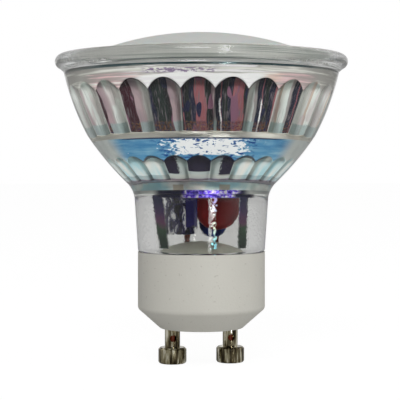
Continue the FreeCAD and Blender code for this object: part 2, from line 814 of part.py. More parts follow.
def varistor():
    """The blue coated disc behind the red part, hung by two longer leads."""
    body = new_body("varistor")
    disc = circles(new_sketch(body, "XZ_Plane", "disc_outline"), ("0", "0", "varistor_radius"))
    coin = pad(body, disc, "coin", "varistor_depth", both_ways=True)
    doc.recompute()
    soft = body.newObject("PartDesign::Fillet", "coated_edges")
    soft.Base = (coin, ["Face2", "Face3"])
    tie(soft, Radius="0.35 * varistor_depth")
    place(body, "varistor_x", "varistor_y", "floor_height - varistor_drop")
    # The leads start on the disc's rim, straight above their own places
    foot = "floor_height - varistor_drop + sqrt(varistor_radius^2 - (0.5 * varistor_pitch - lead_radius)^2)"
    straight_leads("varistor_leads", "varistor", foot)


def chip_body(label, x, y, length, width, height, leg_rows):
    """A moulded chip package on the driver board, with a row of legs along each long side."""
    block = doc.addObject("Part::Box", f"{label}_block")
    tie(block, Length=length, Width=width, Height=height)
    place(block, f"{x} - 0.5 * {length}", f"{y} - 0.5 * {width}", "driver_board_top")
    legs = []
    for side in ("+", "-"):
        for number in range(leg_rows):
            leg = doc.addObject("Part::Box", f"{label}_leg_{side == '+'}_{number}")
            tie(leg, Length="leg_size", Width="leg_reach + leg_size", Height="0.5 * leg_size")
            shift = f"({number} + 0.5) / {leg_rows} * {length} - 0.5 * {length} - 0.5 * leg_size"
            inner = f"0.5 * {width} - leg_size" if side == "+" else f"-0.5 * {width} - leg_reach"
            place(leg, f"{x} + {shift}", f"{y} + {inner}", "driver_board_top")
            legs.append(leg)
    fused = doc.addObject("Part::MultiFuse", label)
    fused.Shapes = [block] + legs
    keep(fused, label)


def choke():
    """The drum choke: a ferrite bobbin and the copper wound on it."""
    core = new_body("choke_core")
    turned(
        core,
        "bobbin",
        ("0", "0"),
        ("choke_radius", "0"),
        ("choke_radius", "choke_flange"),
        ("choke_core_radius", "choke_flange"),
        ("choke_core_radius", "choke_height - choke_flange"),
        ("choke_radius", "choke_height - choke_flange"),
        ("choke_radius", "choke_height"),
        ("0", "choke_height"),
    )
    winding = new_body("choke_winding")
    turned(
        winding,
        "copper",
        ("choke_core_radius", "choke_flange"),
        ("choke_winding_radius", "choke_flange"),
        ("choke_winding_radius", "choke_height - choke_flange"),
        ("choke_core_radius", "choke_height - choke_flange"),
    )
    for body in (core, winding):
        place(body, "choke_x", "choke_y", "driver_board_top")


def route_pipe(body, name, plane, radius, start, *steps, lift=None):
    """A round wire swept along a route drawn in the body's X-Z plane."""
    spine = outline(new_sketch(body, "XZ_Plane", name + "_route"), start, *steps, closed=False)
    section = circles(new_sketch(body, plane, name + "_section", lift), (start[0], "0", radius))
    doc.recompute()
    pipe = body.newObject("PartDesign::AdditivePipe", name)
    pipe.Profile = section
    pipe.Spine = spine
    doc.recompute()
    return pipe


def fusible_resistor():
    """A small axial resistor lying on the board, and its two leads bent down through it."""
    body = new_body("fusible_resistor")
    edge = "0.3 * fuse_radius"
    turned(
        body,
        "barrel",
        ("0", "-0.5 * fuse_length"),
        (f"fuse_radius - {edge}", "-0.5 * fuse_length"),
        ("fuse_radius", f"{edge} - 0.5 * fuse_length"),
        ("fuse_radius", f"0.5 * fuse_length - {edge}"),
        (f"fuse_radius - {edge}", "0.5 * fuse_length"),
        ("0", "0.5 * fuse_length"),
    )
    body.Placement = FreeCAD.Placement(V(), FreeCAD.Rotation(V(1, 0, 0), 90))
    lift = "driver_board_top + fuse_radius + fuse_lift"
    tie(body, Placement__Base__x="fuse_x", Placement__Base__y="fuse_y", Placement__Base__z=lift)
    reach = "(0.5 * fuse_pitch - 0.5 * fuse_length)"
    for name, turn, sign in (("near", "-90", "-"), ("far", "90", "+")):
        lead = new_body(f"resistor_lead_{name}")
        route_pipe(
            lead,
            "lead",
            "XY_Plane",
            "lead_radius",
            (reach, "0"),
            (reach, "driver_board_thickness + fuse_lift + fuse_radius - fuse_bend"),
            (
                f"{reach} - fuse_bend * (1 - cos(45))",
                "driver_board_thickness + fuse_lift + fuse_radius - fuse_bend * (1 - cos(45))",
                f"{reach} - fuse_bend",
                "driver_board_thickness + fuse_lift + fuse_radius",
            ),
            ("0", "driver_board_thickness + fuse_lift + fuse_radius"),
        )
        place(lead, "fuse_x", f"fuse_y {sign} 0.5 * fuse_length", "floor_height", turn=turn)


def chip_resistors():
    """Chip resistors on the driver board."""
    boxes = []
    for number, (x, y) in enumerate(RESISTOR_PLACES, start=1):
        box = doc.addObject("Part::Box", f"chip_resistor_{number}")
        tie(box, Length="resistor_length", Width="resistor_width", Height="resistor_height")
        across = f"{x} * driver_board_radius - 0.5 * resistor_length"
        along = f"{y} * driver_board_radius - 0.5 * resistor_width"
        place(box, across, along, "driver_board_top")
        boxes.append(box)
    group = doc.addObject("Part::Compound", "chip_resistors")
    group.Links = boxes
    keep(group, "chip_resistors")


def bent_wire(label, start, end, foot, low, high, head, bend):
    """A wire that rises at start, leans over between two bends and rises again at end.

    It is drawn in its own upright plane, which is then turned to face from start to end.
    """
    reach = f"sqrt(({end[0]} - ({start[0]}))^2 + ({end[1]} - ({start[1]}))^2)"
    lean = f"atan({reach} / ({high} - {low}))"
    tangent = f"({bend} * tan({lean} / 2))"
    body = new_body(label)
    route_pipe(
        body,
        "wire",
        "XY_Plane",
        "wire_radius",
        ("0", foot),
        ("0", f"{low} - {tangent}"),
        (
            f"{bend} * (1 - cos({lean} / 2))",
            f"{low} - {tangent} + {bend} * sin({lean} / 2)",
            f"{tangent} * sin({lean})",
            f"{low} + {tangent} * cos({lean})",
        ),
        (f"{reach} - {tangent} * sin({lean})", f"{high} - {tangent} * cos({lean})"),
        (
            f"{reach} - {bend} * (1 - cos({lean} / 2))",
            f"{high} + {tangent} - {bend} * sin({lean} / 2)",
            reach,
            f"{high} + {tangent}",
        ),
        (reach, head),
        lift=foot,
    )
    turn = f"atan2({end[1]} - ({start[1]}); {end[0]} - ({start[0]}))"
    place(body, start[0], start[1], turn=turn)


def pin_wires():
    """The insulated wires from the hollow pins, through the fill, to the driver board."""
    for side, sign, rise in (("left", "-", PIN_WIRE_PLACES[0]), ("right", "", PIN_WIRE_PLACES[1])):
        bent_wire(
            f"pin_wire_{side}",
            (f"{sign} 0.5 * pin_spacing", "0"),
            rise,
            "-pin_wire_depth",
            "pin_wire_turn_low",
            "pin_wire_turn_high",
            "driver_board_top + lead_tail",
            "pin_wire_bend",
        )


def led_wires():
    """The two wires from the driver board up to the LED board."""
    for name, foot, head in zip(("minus", "plus"), LED_WIRE_PLACES, LED_HOLE_PLACES):
        bent_wire(
            f"led_wire_{name}",
            foot,
            head,
            "driver_board_top",
            "led_wire_turn_low",
            "led_wire_turn_high",
            "led_board_top + led_wire_tail",
            "led_wire_bend",
        )


def potting():
    """The grey fill in the neck's foot: its top bulges, and the two pin wires come up through it."""
    body = new_body("potting")
    turned(
        body,
        "mound",
        ("0", "fill_foot"),
        (bore("fill_foot"), "fill_foot"),
        (bore("fill_edge"), "fill_edge"),
        (
            f"0.5 * {bore('fill_edge')}",
            "fill_edge + 0.75 * fill_dome",
            "0",
            "fill_edge + fill_dome",
        ),
    )
    holes = circles(
        new_sketch(body, "XY_Plane", "wire_holes_outline", "fill_foot"),
        *[(x, y, "wire_radius") for x, y in PIN_WIRE_PLACES],
    )
    cut = body.newObject("PartDesign::Pocket", "wire_holes")
    cut.Profile = holes
    cut.Reversed = True
    cut.Type = "Length"
    tie(cut, Length="fill_edge + 2 * fill_dome - fill_foot")


def base_cement():
    """The thin ring of cement between the glass spigot and the base's cup."""
    body = new_body("base_cement")
    turned(
        body,
        "ring",
        ("spigot_radius", "spigot_end"),
        ("cup_radius", "spigot_end"),
        ("cup_radius", "base_height"),
        ("spigot_radius", "base_height"),
    )


glass_body()
front_lens()
lens_seal()
gu10_base()
contact_pin("contact_pin_left", "-1")
contact_pin("contact_pin_right", "1")
led_board()
led_chips()
driver_board()
electrolytic_capacitor()
film_capacitor()
varistor()
chip_body("bridge_rectifier", "bridge_x", "bridge_y", "bridge_length", "bridge_width", "bridge_height", 2)
chip_body("driver_ic", "ic_x", "ic_y", "ic_length", "ic_width", "ic_height", 3)
choke()
fusible_resistor()
chip_resistors()
pin_wires()
led_wires()
solder(
    "driver_board_solder",
    [(x, y, "driver_board_top", "lead_radius") for x, y in LEAD_PLACES]
    + [(x, y, "driver_board_top", "wire_radius") for x, y in PIN_WIRE_PLACES + LED_WIRE_PLACES],
)
solder("led_board_solder", [(x, y, "led_board_top", "wire_radius") for x, y in LED_HOLE_PLACES])
potting()
base_cement()

doc.recompute()
for thing in doc.Objects:
    if {"Invalid", "Error"} & set(thing.State):
        raise RuntimeError(f"{thing.Name} failed: {thing.State}")
for piece in pieces:
    if piece.Shape.isNull() or not piece.Shape.isValid():
        raise RuntimeError(f"{piece.Label} has no valid shape")

os.makedirs("parts", exist_ok=True)
for piece in pieces:
    piece.Shape.exportStep(f"parts/{piece.Label}.step")
    print(f"{piece.Label}: {len(piece.Shape.Solids)} solid(s), {piece.Shape.Volume:.2f} mm3")
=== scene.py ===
import json
import math
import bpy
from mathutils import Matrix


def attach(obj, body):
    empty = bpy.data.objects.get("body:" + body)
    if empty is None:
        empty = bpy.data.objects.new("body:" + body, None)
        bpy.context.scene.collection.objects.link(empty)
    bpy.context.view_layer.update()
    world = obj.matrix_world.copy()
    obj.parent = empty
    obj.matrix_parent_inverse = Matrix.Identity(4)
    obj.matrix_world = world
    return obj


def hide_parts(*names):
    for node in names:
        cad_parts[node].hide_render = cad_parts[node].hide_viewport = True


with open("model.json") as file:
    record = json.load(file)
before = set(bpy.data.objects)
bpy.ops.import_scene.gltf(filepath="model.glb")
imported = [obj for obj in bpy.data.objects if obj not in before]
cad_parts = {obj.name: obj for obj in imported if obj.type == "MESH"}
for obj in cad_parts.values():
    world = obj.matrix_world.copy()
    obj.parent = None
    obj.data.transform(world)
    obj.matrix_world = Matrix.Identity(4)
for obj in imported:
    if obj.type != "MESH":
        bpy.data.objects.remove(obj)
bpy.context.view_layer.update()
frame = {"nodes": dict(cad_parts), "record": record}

from types import SimpleNamespace

import bpy
import numpy as np
from mathutils import Vector

MM = 0.001

# The outside of the glass cup as the solid has it, in mm; a point is (radius, height)
SPIGOT = (9.0, 10.0)
BASE_TOP = 13.0
NECK_RADIUS = 10.88
NECK_ROUND = 0.5
NECK_TOP = (11.45, 22.2)
NECK_HOLLOW = (-0.17, 0.05)
THROAT = (12.5, 24.5)
SHOULDER = (19.4, 32.7)
GROOVE = (23.5, 43.6)
LIP_FOOT = (24.175, 44.2)
LIP_EDGE = (24.995, 45.4)
LIP_TOP = (24.3, 46.4)
LENS_SEAT = (22.5, 44.0)
UPPER_BULGE = 0.4
LOWER_BULGE = 0.2

# The inside of the cup, in mm, set a little closer to the photograph than the solid's
LENS_LEDGE = 1.05
UPPER_WALL = 2.1
LOWER_WALL = 1.9
RING = (16.6, 33.55)
RING_FOOT = RING[1] - 1.0
RING_DRAFT = 0.22
CUP_FLOOR = (9.8, 23.3)
MOUTH = CUP_FLOOR[0] + 0.3
BORE_TOP = 8.0
BORE_FOOT = 7.6
# How close the mesh's rows lie to a corner that stays crisp
CRISP = 0.1

# Flutes, in mm and degrees; the drop is how far an arch falls from its top to the cusps
FLUTE_COUNT = 24
FLUTE_TURN = 5.5
FLUTE_PITCH = 360 / FLUTE_COUNT
UPPER_FLUTE = {"foot": 33.55, "top": 41.7, "radius": 5.6, "lift": 0.95, "drop": 1.7}
LOWER_FLUTE = {"foot": 26.0, "top": 29.75, "radius": 4.0, "lift": 0.6, "drop": 0.8}
VALLEY_ROUND = 0.35
ARCH_ROUND = 0.08
# The photograph's side of the lamp, as an angle about Z
FRONT = -98.0
FILM_DEPTH = 0.04
# Columns across half a flute, and rows above and below its arch, closer together where it bends
HALF_FLUTE = (0.0, 0.16, 0.32, 0.48, 0.63, 0.77, 0.88, 0.95)
ABOVE_ARCH = (1.0, 0.8, 0.6, 0.4, 0.25, 0.12, 0.04)
BELOW_ARCH = (0.0, 0.015, 0.04, 0.08, 0.13, 0.2, 0.28, 0.37, 0.47, 0.58, 0.7, 0.82, 0.92, 1.0)
# The search for the height of an arch: margins at the flute's foot and top, in mm, and its steps
ARCH_MARGINS = (0.5, 0.3)
HALVINGS = 40
# Radii for a line that misses a flute, and for a skin that stays behind the wall, in mm
NO_ROOT = 99.0
BEHIND_WALL = 1.0
# Rows of the bore that carry the coat; it ends above the fill
COATED_ROWS = 15
# The sharpest bends that are still shaded smooth, in degrees
GLASS_BEND = 32
SOLID_BEND = 30

# Heights of the patterns on the glass, and of the painted reflections and highlights on the film and the
# coat, in mm
NECK_END = 22.5
RIM_LINES_FOOT = 42.3
PANE_MIDDLE = 38.0
PANE_FOOT = 35.7
GLINT_TOP = 38.8
BLUSH_TOP = 42.8
WHITE_TOP = 42.3
PURPLE_LEVEL = 42.75
RIM_LINE = 43.6
SPARK_LEVEL = 31.95
LOW_DARK_FOOT = 26.6
SILL_TOP = 26.9
TILE_TOP = 25.35
GLITTER_TOP = 24.1
COAT_FOOT = 13.0
COAT_TOP = 23.5
COAT_MOUTH = 22.55
STRIP_FOOT = 14.0
STRIP_MIDDLE = 18.5
STRIP_TOP = 22.0
NAVY_FOOT = 17.0
# Their bearings from the front, in degrees
SPARK_BEARING = 4.0
TILE_BEARING = 21.0
PEARLY_SPARKLE_BEARING = 14.0
MOUTH_BEARING = 8.0
NAVY_BEARING = -10.8

# The photograph's camera: f in pixels of a 400 pixel frame, distances in mm
FRAME = 400
FOCAL = 1311.75
CAMERA_DISTANCE = 225.0
CAMERA_HEIGHT = 26.95
CAMERA_AZIMUTH = -8.0
HORIZON_Y = 170
AXIS_X = 201.4
SENSOR = 36.0

# The floor, in metres: its near edge keeps it out of the neck's first reflection
FLOOR_REACH = 3.0
FLOOR_EDGE = -0.11
FLOOR_LEVEL = -6.05 * MM
FLOOR_GLOW = 1.1
FLOOR_GLOW_FAR = 0.62
# How bright the studio's walls are for the light that falls on the lamp, and seen through its glass
WORLD_LIGHT = 0.38
SEEN_THROUGH_GLASS = 0.47


class Tree:
    """A small builder for the nodes of a material or the world."""

    def __init__(self, owner, output="ShaderNodeOutputMaterial"):
        self.owner = owner
        owner.use_nodes = True
        self.tree = owner.node_tree
        self.tree.nodes.clear()
        self.output = self.tree.nodes.new(output)

    def add(self, kind, inputs=None, **settings):
        """A node with its settings, and its inputs set or linked."""
        node = self.tree.nodes.new(kind)
        for name, value in settings.items():
            setattr(node, name, value)
        for name, value in (inputs or {}).items():
            self.feed(node.inputs[name], value)
        return node

    def feed(self, socket, value):
        """Link a socket to another, or give it a plain value."""
        if isinstance(value, bpy.types.NodeSocket):
            self.tree.links.new(value, socket)
        else:
            socket.default_value = value

    def math(self, operation, one, two=0.0, three=0.0):
        node = self.add("ShaderNodeMath", {0: one, 1: two, 2: three}, operation=operation)
        return node.outputs[0]

    def times(self, *values):
        """The product of some values."""
        product = values[0]
        for value in values[1:]:
            product = self.math("MULTIPLY", product, value)
        return product

    def plus(self, *values):
        """The sum of some values."""
        total = values[0]
        for value in values[1:]:
            total = self.math("ADD", total, value)
        return total

    def linear(self, value, factor, offset):
        """A value times a factor, and an offset added."""
        return self.math("MULTIPLY_ADD", value, factor, offset)

    def distance(self, value, middle):
        """How far a value is from another."""
        return self.math("ABSOLUTE", self.math("SUBTRACT", value, middle))

    def smooth(self, value, low, high, to_low=0.0, to_high=1.0):
        """A smooth step of a value from low to high."""
        node = self.add(
            "ShaderNodeMapRange",
            {"Value": value, "From Min": low, "From Max": high, "To Min": to_low, "To Max": to_high},
            interpolation_type="SMOOTHSTEP",
        )
        return node.outputs["Result"]

    def window(self, value, start, full, fade, end):
        """1 where a value is between full and fade, and down to 0 at start and end."""
        return self.times(self.smooth(value, start, full), self.smooth(value, end, fade))

    def mix(self, factor, one, two):
        """A mix of two colours."""
        node = self.tree.nodes.new("ShaderNodeMix")
        node.data_type = "RGBA"
        self.feed(node.inputs["Factor"], factor)
        self.feed(node.inputs[6], one)
        self.feed(node.inputs[7], two)
        return node.outputs[2]

    def mix_value(self, factor, one, two):
        """A mix of two plain values."""
        node = self.add("ShaderNodeMix", {"Factor": factor, "A": one, "B": two}, data_type="FLOAT")
        return node.outputs["Result"]

    def mix_shader(self, factor, one, two):
        """A mix of two shaders."""
        return self.add("ShaderNodeMixShader", {"Fac": factor, 1: one, 2: two}).outputs[0]

    def ramp(self, value, *stops):
        """A colour ramp of (place, colour) stops."""
        node = self.add("ShaderNodeValToRGB", {"Fac": value})
        band = node.color_ramp
        while len(band.elements) < len(stops):
            band.elements.new(0.5)
        for element, (where, colour) in zip(band.elements, stops):
            element.position = where
            element.color = colour
        return node.outputs["Color"]

    def noise(self, where, scale, detail=3.0, roughness=0.5, distortion=0.0):
        shape = {"Scale": scale, "Detail": detail, "Roughness": roughness, "Distortion": distortion}
        return self.add("ShaderNodeTexNoise", {"Vector": where, **shape}).outputs["Fac"]

    def place(self):
        """The object's own coordinates, in metres."""
        return self.add("ShaderNodeTexCoord").outputs["Object"]

    def axes(self, where):
        """Sockets X, Y and Z of a place."""
        return self.add("ShaderNodeSeparateXYZ", {"Vector": where}).outputs

    def height(self, where):
        """The height of a place in mm."""
        return self.math("MULTIPLY", self.axes(where)["Z"], 1 / MM)

    def turn(self, where):
        """The angle of a place about Z, in degrees."""
        parts = self.axes(where)
        return self.math("DEGREES", self.math("ARCTAN2", parts["Y"], parts["X"]))

    def scaled(self, where, x, y, z):
        node = self.add("ShaderNodeVectorMath", {0: where, 1: (x, y, z)}, operation="MULTIPLY")
        return node.outputs["Vector"]

    def bump(self, height, strength, distance):
        node = self.add("ShaderNodeBump", {"Height": height, "Strength": strength, "Distance": distance})
        return node.outputs["Normal"]

    def principled(self, **inputs):
        """A Principled shader, its socket names written with underscores."""
        named = {name.replace("_", " "): value for name, value in inputs.items()}
        return self.add("ShaderNodeBsdfPrincipled", named).outputs["BSDF"]

    def surface(self, shader):
        """Put a shader on the output, and give back the material or world."""
        self.tree.links.new(shader, self.output.inputs["Surface"])
        return self.owner


def new_material(name):
    return Tree(bpy.data.materials.new(name))


def rgb(red, green, blue):
    """A colour written in screen values from 0 to 255, as linear light."""
    screen = np.array([red, green, blue]) / 255
    linear = np.where(screen <= 0.04045, screen / 12.92, ((screen + 0.055) / 1.055) ** 2.4)
    return (*map(float, linear), 1.0)


def arc(start, via, end, steps):
    """Points of the arc through three points, the start left out."""
    (x1, y1), (x2, y2), (x3, y3) = start, via, end
    d = 2 * (x1 * (y2 - y3) + x2 * (y3 - y1) + x3 * (y1 - y2))
    s1, s2, s3 = x1 * x1 + y1 * y1, x2 * x2 + y2 * y2, x3 * x3 + y3 * y3
    cx = (s1 * (y2 - y3) + s2 * (y3 - y1) + s3 * (y1 - y2)) / d
    cy = (s1 * (x3 - x2) + s2 * (x1 - x3) + s3 * (x2 - x1)) / d
    first, middle, last = (math.atan2(y - cy, x - cx) for x, y in (start, via, end))
    sweep = (last - first) % math.tau
    if (middle - first) % math.tau > sweep:
        sweep -= math.tau
    radius = math.hypot(x1 - cx, y1 - cy)
    angles = [first + sweep * k / steps for k in range(1, steps + 1)]
    return [(cx + radius * math.cos(a), cy + radius * math.sin(a)) for a in angles]


def line(start, end, steps):
    """Points of a straight run, the start left out."""
    return [
        (start[0] + (end[0] - start[0]) * k / steps, start[1] + (end[1] - start[1]) * k / steps)
        for k in range(1, steps + 1)
    ]


def between(one, two, shift_r, shift_z):
    """The middle of two points, shifted."""
    return ((one[0] + two[0]) / 2 + shift_r, (one[1] + two[1]) / 2 + shift_z)


def columns():
    """Angles of the mesh's columns round the lamp, and each one's offset from its flute's middle."""
    half = [-share for share in reversed(HALF_FLUTE[1:])] + list(HALF_FLUTE)
    offsets = [share * FLUTE_PITCH / 2 for share in half] + [FLUTE_PITCH / 2]
    turns = [FLUTE_TURN + FLUTE_PITCH * k + offset for k in range(FLUTE_COUNT) for offset in offsets]
    return np.radians(turns), np.radians(np.tile(offsets, FLUTE_COUNT))


TURNS, OFFSETS = columns()


def upper_inner(height):
    """Radius of the plain inner wall of the upper tier at a height."""
    share = (height - SHOULDER[1]) / (GROOVE[1] - SHOULDER[1])
    return SHOULDER[0] - UPPER_WALL + (GROOVE[0] - SHOULDER[0]) * share


def lower_inner(height):
    """Radius of the plain inner wall of the lower tier at a height."""
    share = (height - SHOULDER[1]) / (THROAT[1] - SHOULDER[1])
    return SHOULDER[0] - LOWER_WALL + (THROAT[0] - SHOULDER[0]) * share


def near_root(a, b, c):
    """The smaller root of a quadratic, and a far value where it has none."""
    inside = b**2 - 4 * a * c
    return np.where(inside > 0, (-b - np.sqrt(np.maximum(inside, 0))) / (2 * a), NO_ROOT)


def flute_skin(flute, inner, offset, height):
    """Radius of a flute's skin at an angle from its middle and a height: a cylinder with a round end."""
    foot = np.array([inner(flute["foot"]), flute["foot"]])
    top = np.array([inner(flute["top"]), flute["top"]])
    along = (top - foot) / np.linalg.norm(top - foot)
    out = np.array([along[1], -along[0]])
    back = flute["radius"] - flute["lift"]
    reach = math.sqrt(flute["radius"] ** 2 - back**2)
    low = foot + out * back
    ball = top + out * back - along * reach
    half = math.radians(FLUTE_PITCH / 2)
    c = np.cos(half - np.sqrt((half - np.abs(offset)) ** 2 + math.radians(VALLEY_ROUND) ** 2))
    # On the cylinder the squared distance from its axis is the radius squared
    dz = height - low[1]
    shift = dz * along[1] - low[0] * along[0]
    qa = 1 - (c * along[0]) ** 2
    qb = -2 * low[0] * c - 2 * c * along[0] * shift
    qc = low[0] ** 2 + dz**2 - shift**2 - flute["radius"] ** 2
    cylinder = near_root(qa, qb, qc)
    travel = cylinder * c * along[0] + shift
    from_ball = ball[0] ** 2 + (height - ball[1]) ** 2 - flute["radius"] ** 2
    sphere = near_root(1.0, -2 * ball[0] * c, from_ball)
    return np.where(travel > np.linalg.norm(ball - low), sphere, cylinder)


def arch_height(flute, inner):
    """Height, at each column, where the flute's round end meets the plain wall."""
    low = np.full(len(OFFSETS), flute["foot"] + ARCH_MARGINS[0])
    high = np.full(len(OFFSETS), flute["top"] + ARCH_MARGINS[1])
    for _ in range(HALVINGS):
        middle = (low + high) / 2
        proud = flute_skin(flute, inner, OFFSETS, middle) < inner(middle)
        low = np.where(proud, middle, low)
        high = np.where(proud, high, middle)
    return low


def fluted_rows(flute, inner, ceiling):
    """Rows of a fluted wall from the ceiling down to the foot, each (radius, height) at every column."""
    arch = arch_height(flute, inner)
    heights = [arch + (ceiling - arch) * share for share in ABOVE_ARCH]
    heights += [arch + (flute["foot"] - arch) * share for share in BELOW_ARCH]
    rows = []
    for height in heights:
        wall = inner(height)
        skin = np.minimum(flute_skin(flute, inner, OFFSETS, height), wall + BEHIND_WALL)
        rows.append(((wall + skin) / 2 - np.sqrt((wall - skin) ** 2 + ARCH_ROUND**2) / 2, height))
    return rows


def level(points):
    """Rows of a plain turned surface."""
    return [(np.full(len(TURNS), r), np.full(len(TURNS), z)) for r, z in points]


def ledge(row, radius, height, shares):
    """Rows of a level ledge from a fluted foot to a plain radius."""
    foot = row[0]
    return [(foot + (radius - foot) * share, np.full(len(TURNS), height)) for share in shares]


def cup_rows():
    """The inside of the cup, from the lens ledge down to the inner edge of its floor."""
    rows = level([(LENS_SEAT[0] - LENS_LEDGE, LENS_SEAT[1])])
    rows += fluted_rows(UPPER_FLUTE, upper_inner, LENS_SEAT[1] - 3 * CRISP)
    rows += ledge(rows[-1], *RING, (0.1, 0.5, 0.9, 1.0))
    ring_inner = RING[0] - RING_DRAFT
    rows += level([(RING[0], RING[1] - CRISP), (ring_inner, RING_FOOT + CRISP)])
    rows += level([(ring_inner + CRISP / 2, RING_FOOT)])
    rows += level([(lower_inner(RING_FOOT - CRISP), RING_FOOT - CRISP)])
    rows += fluted_rows(LOWER_FLUTE, lower_inner, RING_FOOT - 3 * CRISP)
    rows += ledge(rows[-1], MOUTH, LOWER_FLUTE["foot"], (0.1, 0.5, 0.95, 1.0))
    rows += level(line((MOUTH, LOWER_FLUTE["foot"]), CUP_FLOOR, 3))
    return rows + level(line(CUP_FLOOR, (BORE_TOP + 1.5 * CRISP, CUP_FLOOR[1]), 3))


def bore_rows():
    """The bore of the neck, from the cup's floor down to its foot."""
    top = (BORE_TOP + CRISP / 2, CUP_FLOOR[1] - CRISP / 2)
    return level([top] + line(top, (BORE_FOOT, SPIGOT[1]), 20))


def outer_rows():
    """The outside of the cup from the spigot's foot up to the lens ledge."""
    spigot_top = (SPIGOT[0], BASE_TOP)
    foot_corner = (NECK_RADIUS - NECK_ROUND, BASE_TOP)
    foot_end = (NECK_RADIUS, BASE_TOP + NECK_ROUND)
    half = NECK_ROUND * (1 - math.cos(math.pi / 4))
    points = [SPIGOT]
    points += line(SPIGOT, spigot_top, 3)
    points += line(spigot_top, foot_corner, 2)
    points += arc(foot_corner, (NECK_RADIUS - half, BASE_TOP + half), foot_end, 6)
    points += line(foot_end, NECK_TOP, 8)
    points += arc(NECK_TOP, between(NECK_TOP, THROAT, *NECK_HOLLOW), THROAT, 8)
    points += arc(THROAT, between(THROAT, SHOULDER, LOWER_BULGE, -LOWER_BULGE), SHOULDER, 12)
    points += arc(SHOULDER, between(SHOULDER, GROOVE, UPPER_BULGE, -0.3 * UPPER_BULGE), GROOVE, 14)
    points += line(GROOVE, LIP_FOOT, 2)
    points += arc(LIP_FOOT, LIP_EDGE, LIP_TOP, 12)
    points += line(LIP_TOP, (LENS_SEAT[0] + CRISP, LIP_TOP[1]), 3)
    points += line((LENS_SEAT[0], LIP_TOP[1] - CRISP), LENS_SEAT, 4)
    points += line(LENS_SEAT, (LENS_SEAT[0] - LENS_LEDGE + CRISP, LENS_SEAT[1]), 2)
    return level(points)


def ring_mesh(name, rows, closed):
    """A mesh of rings, one for each row, the last joined to the first where closed."""
    radius = np.array([row[0] for row in rows]) * MM
    height = np.array([row[1] for row in rows]) * MM
    points = np.stack([radius * np.cos(TURNS), radius * np.sin(TURNS), height], axis=-1).reshape(-1, 3)
    count, across = len(rows), len(TURNS)
    grid = np.arange(count * across).reshape(count, across)
    if closed:
        grid = np.vstack([grid, grid[:1]])
    near, far = grid[:-1], grid[1:]
    faces = np.stack([near, np.roll(near, -1, 1), np.roll(far, -1, 1), far], axis=-1).reshape(-1, 4)
    mesh = bpy.data.meshes.new(name)
    mesh.from_pydata(points.tolist(), [], faces.tolist())
    mesh.update()
    return mesh


def smooth_shade(mesh, angle=GLASS_BEND):
    mesh.shade_smooth()
    mesh.set_sharp_from_angle(angle=math.radians(angle))


def in_scene(name, data):
    """A new object of the data, linked to the scene."""
    thing = bpy.data.objects.new(name, data)
    bpy.context.scene.collection.objects.link(thing)
    return thing


def piece(mesh, material, slot, *nodes):
    """An object that rides on the lamp, takes a finish and hides the named nodes."""
    thing = in_scene(mesh.name, mesh)
    thing.data.materials.append(material)
    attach(thing, "root")
    if nodes:
        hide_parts(*nodes)


def glass_material():
    """Clear pressed glass: gently wavy, pebbled on the neck and drawn in level lines at the rim."""
    tree = new_material("clear_glass")
    where = tree.place()
    height = tree.height(where)
    waves = tree.noise(tree.scaled(where, 1, 1, 0.5), 240, 2.0)
    neck = tree.smooth(height, NECK_END + 1.5, NECK_END, 0.0, 0.2)
    pebbles = tree.times(tree.noise(where, 1300, 3.0, 0.6), neck)
    lines = tree.noise(tree.scaled(where, 0.05, 0.05, 6), 300, 3.0, 0.5)
    lines = tree.times(lines, tree.smooth(height, RIM_LINES_FOOT, RIM_LINES_FOOT + 1, 0.0, 1.6))
    relief = tree.plus(tree.times(waves, 0.3), pebbles, lines)
    neck_tint, cup_tint = (0.93, 0.935, 0.92, 1.0), (0.975, 0.985, 0.978, 1.0)
    tint = tree.mix(tree.smooth(height, NECK_END, NECK_END + 2), neck_tint, cup_tint)
    # A grey line painted on the round edge of the rim as its dark reflection, and none on its flat top
    top = LIP_TOP[1]
    painted_rim_line = tree.window(height, top - 0.32, top - 0.12, top - 0.04, top - 0.01)
    tint = tree.mix(painted_rim_line, tint, (0.46, 0.43, 0.38, 1.0))
    return tree.surface(tree.principled(
        Base_Color=tint,
        Roughness=0.0,
        IOR=1.47,
        Transmission_Weight=1.0,
        Normal=tree.bump(relief, 0.25, 0.0003),
    ))


def panorama(tree, angle):
    """A painted reflection that a mirror flute carries across its width: dark panes in the middle, grey
    beside them, pale beyond.
    """
    span = 280
    stops = (
        (-140, (238, 242, 238)),
        (-104, (242, 246, 240)),
        (-84, (226, 232, 226)),
        (-70, (236, 240, 234)),
        (-65, (200, 194, 192)),
        (-60, (180, 162, 164)),
        (-38, (160, 138, 144)),
        (-37, (40, 34, 38)),
        (-22, (34, 42, 40)),
        (-20, (40, 50, 46)),
        (9, (36, 44, 42)),
        (10, (34, 36, 58)),
        (22, (30, 32, 50)),
        (23, (40, 46, 42)),
        (36, (34, 40, 40)),
        (37, (30, 34, 54)),
        (59, (34, 36, 52)),
        (60, (150, 146, 144)),
        (69, (172, 168, 164)),
        (70, (230, 238, 232)),
        (98, (242, 246, 240)),
        (101, (206, 184, 168)),
        (110, (224, 208, 192)),
        (112, (236, 240, 234)),
        (140, (240, 244, 240)),
    )
    place = tree.linear(angle, 1 / span, 0.5)
    return tree.ramp(place, *((stop / span + 0.5, rgb(*colour)) for stop, colour in stops))


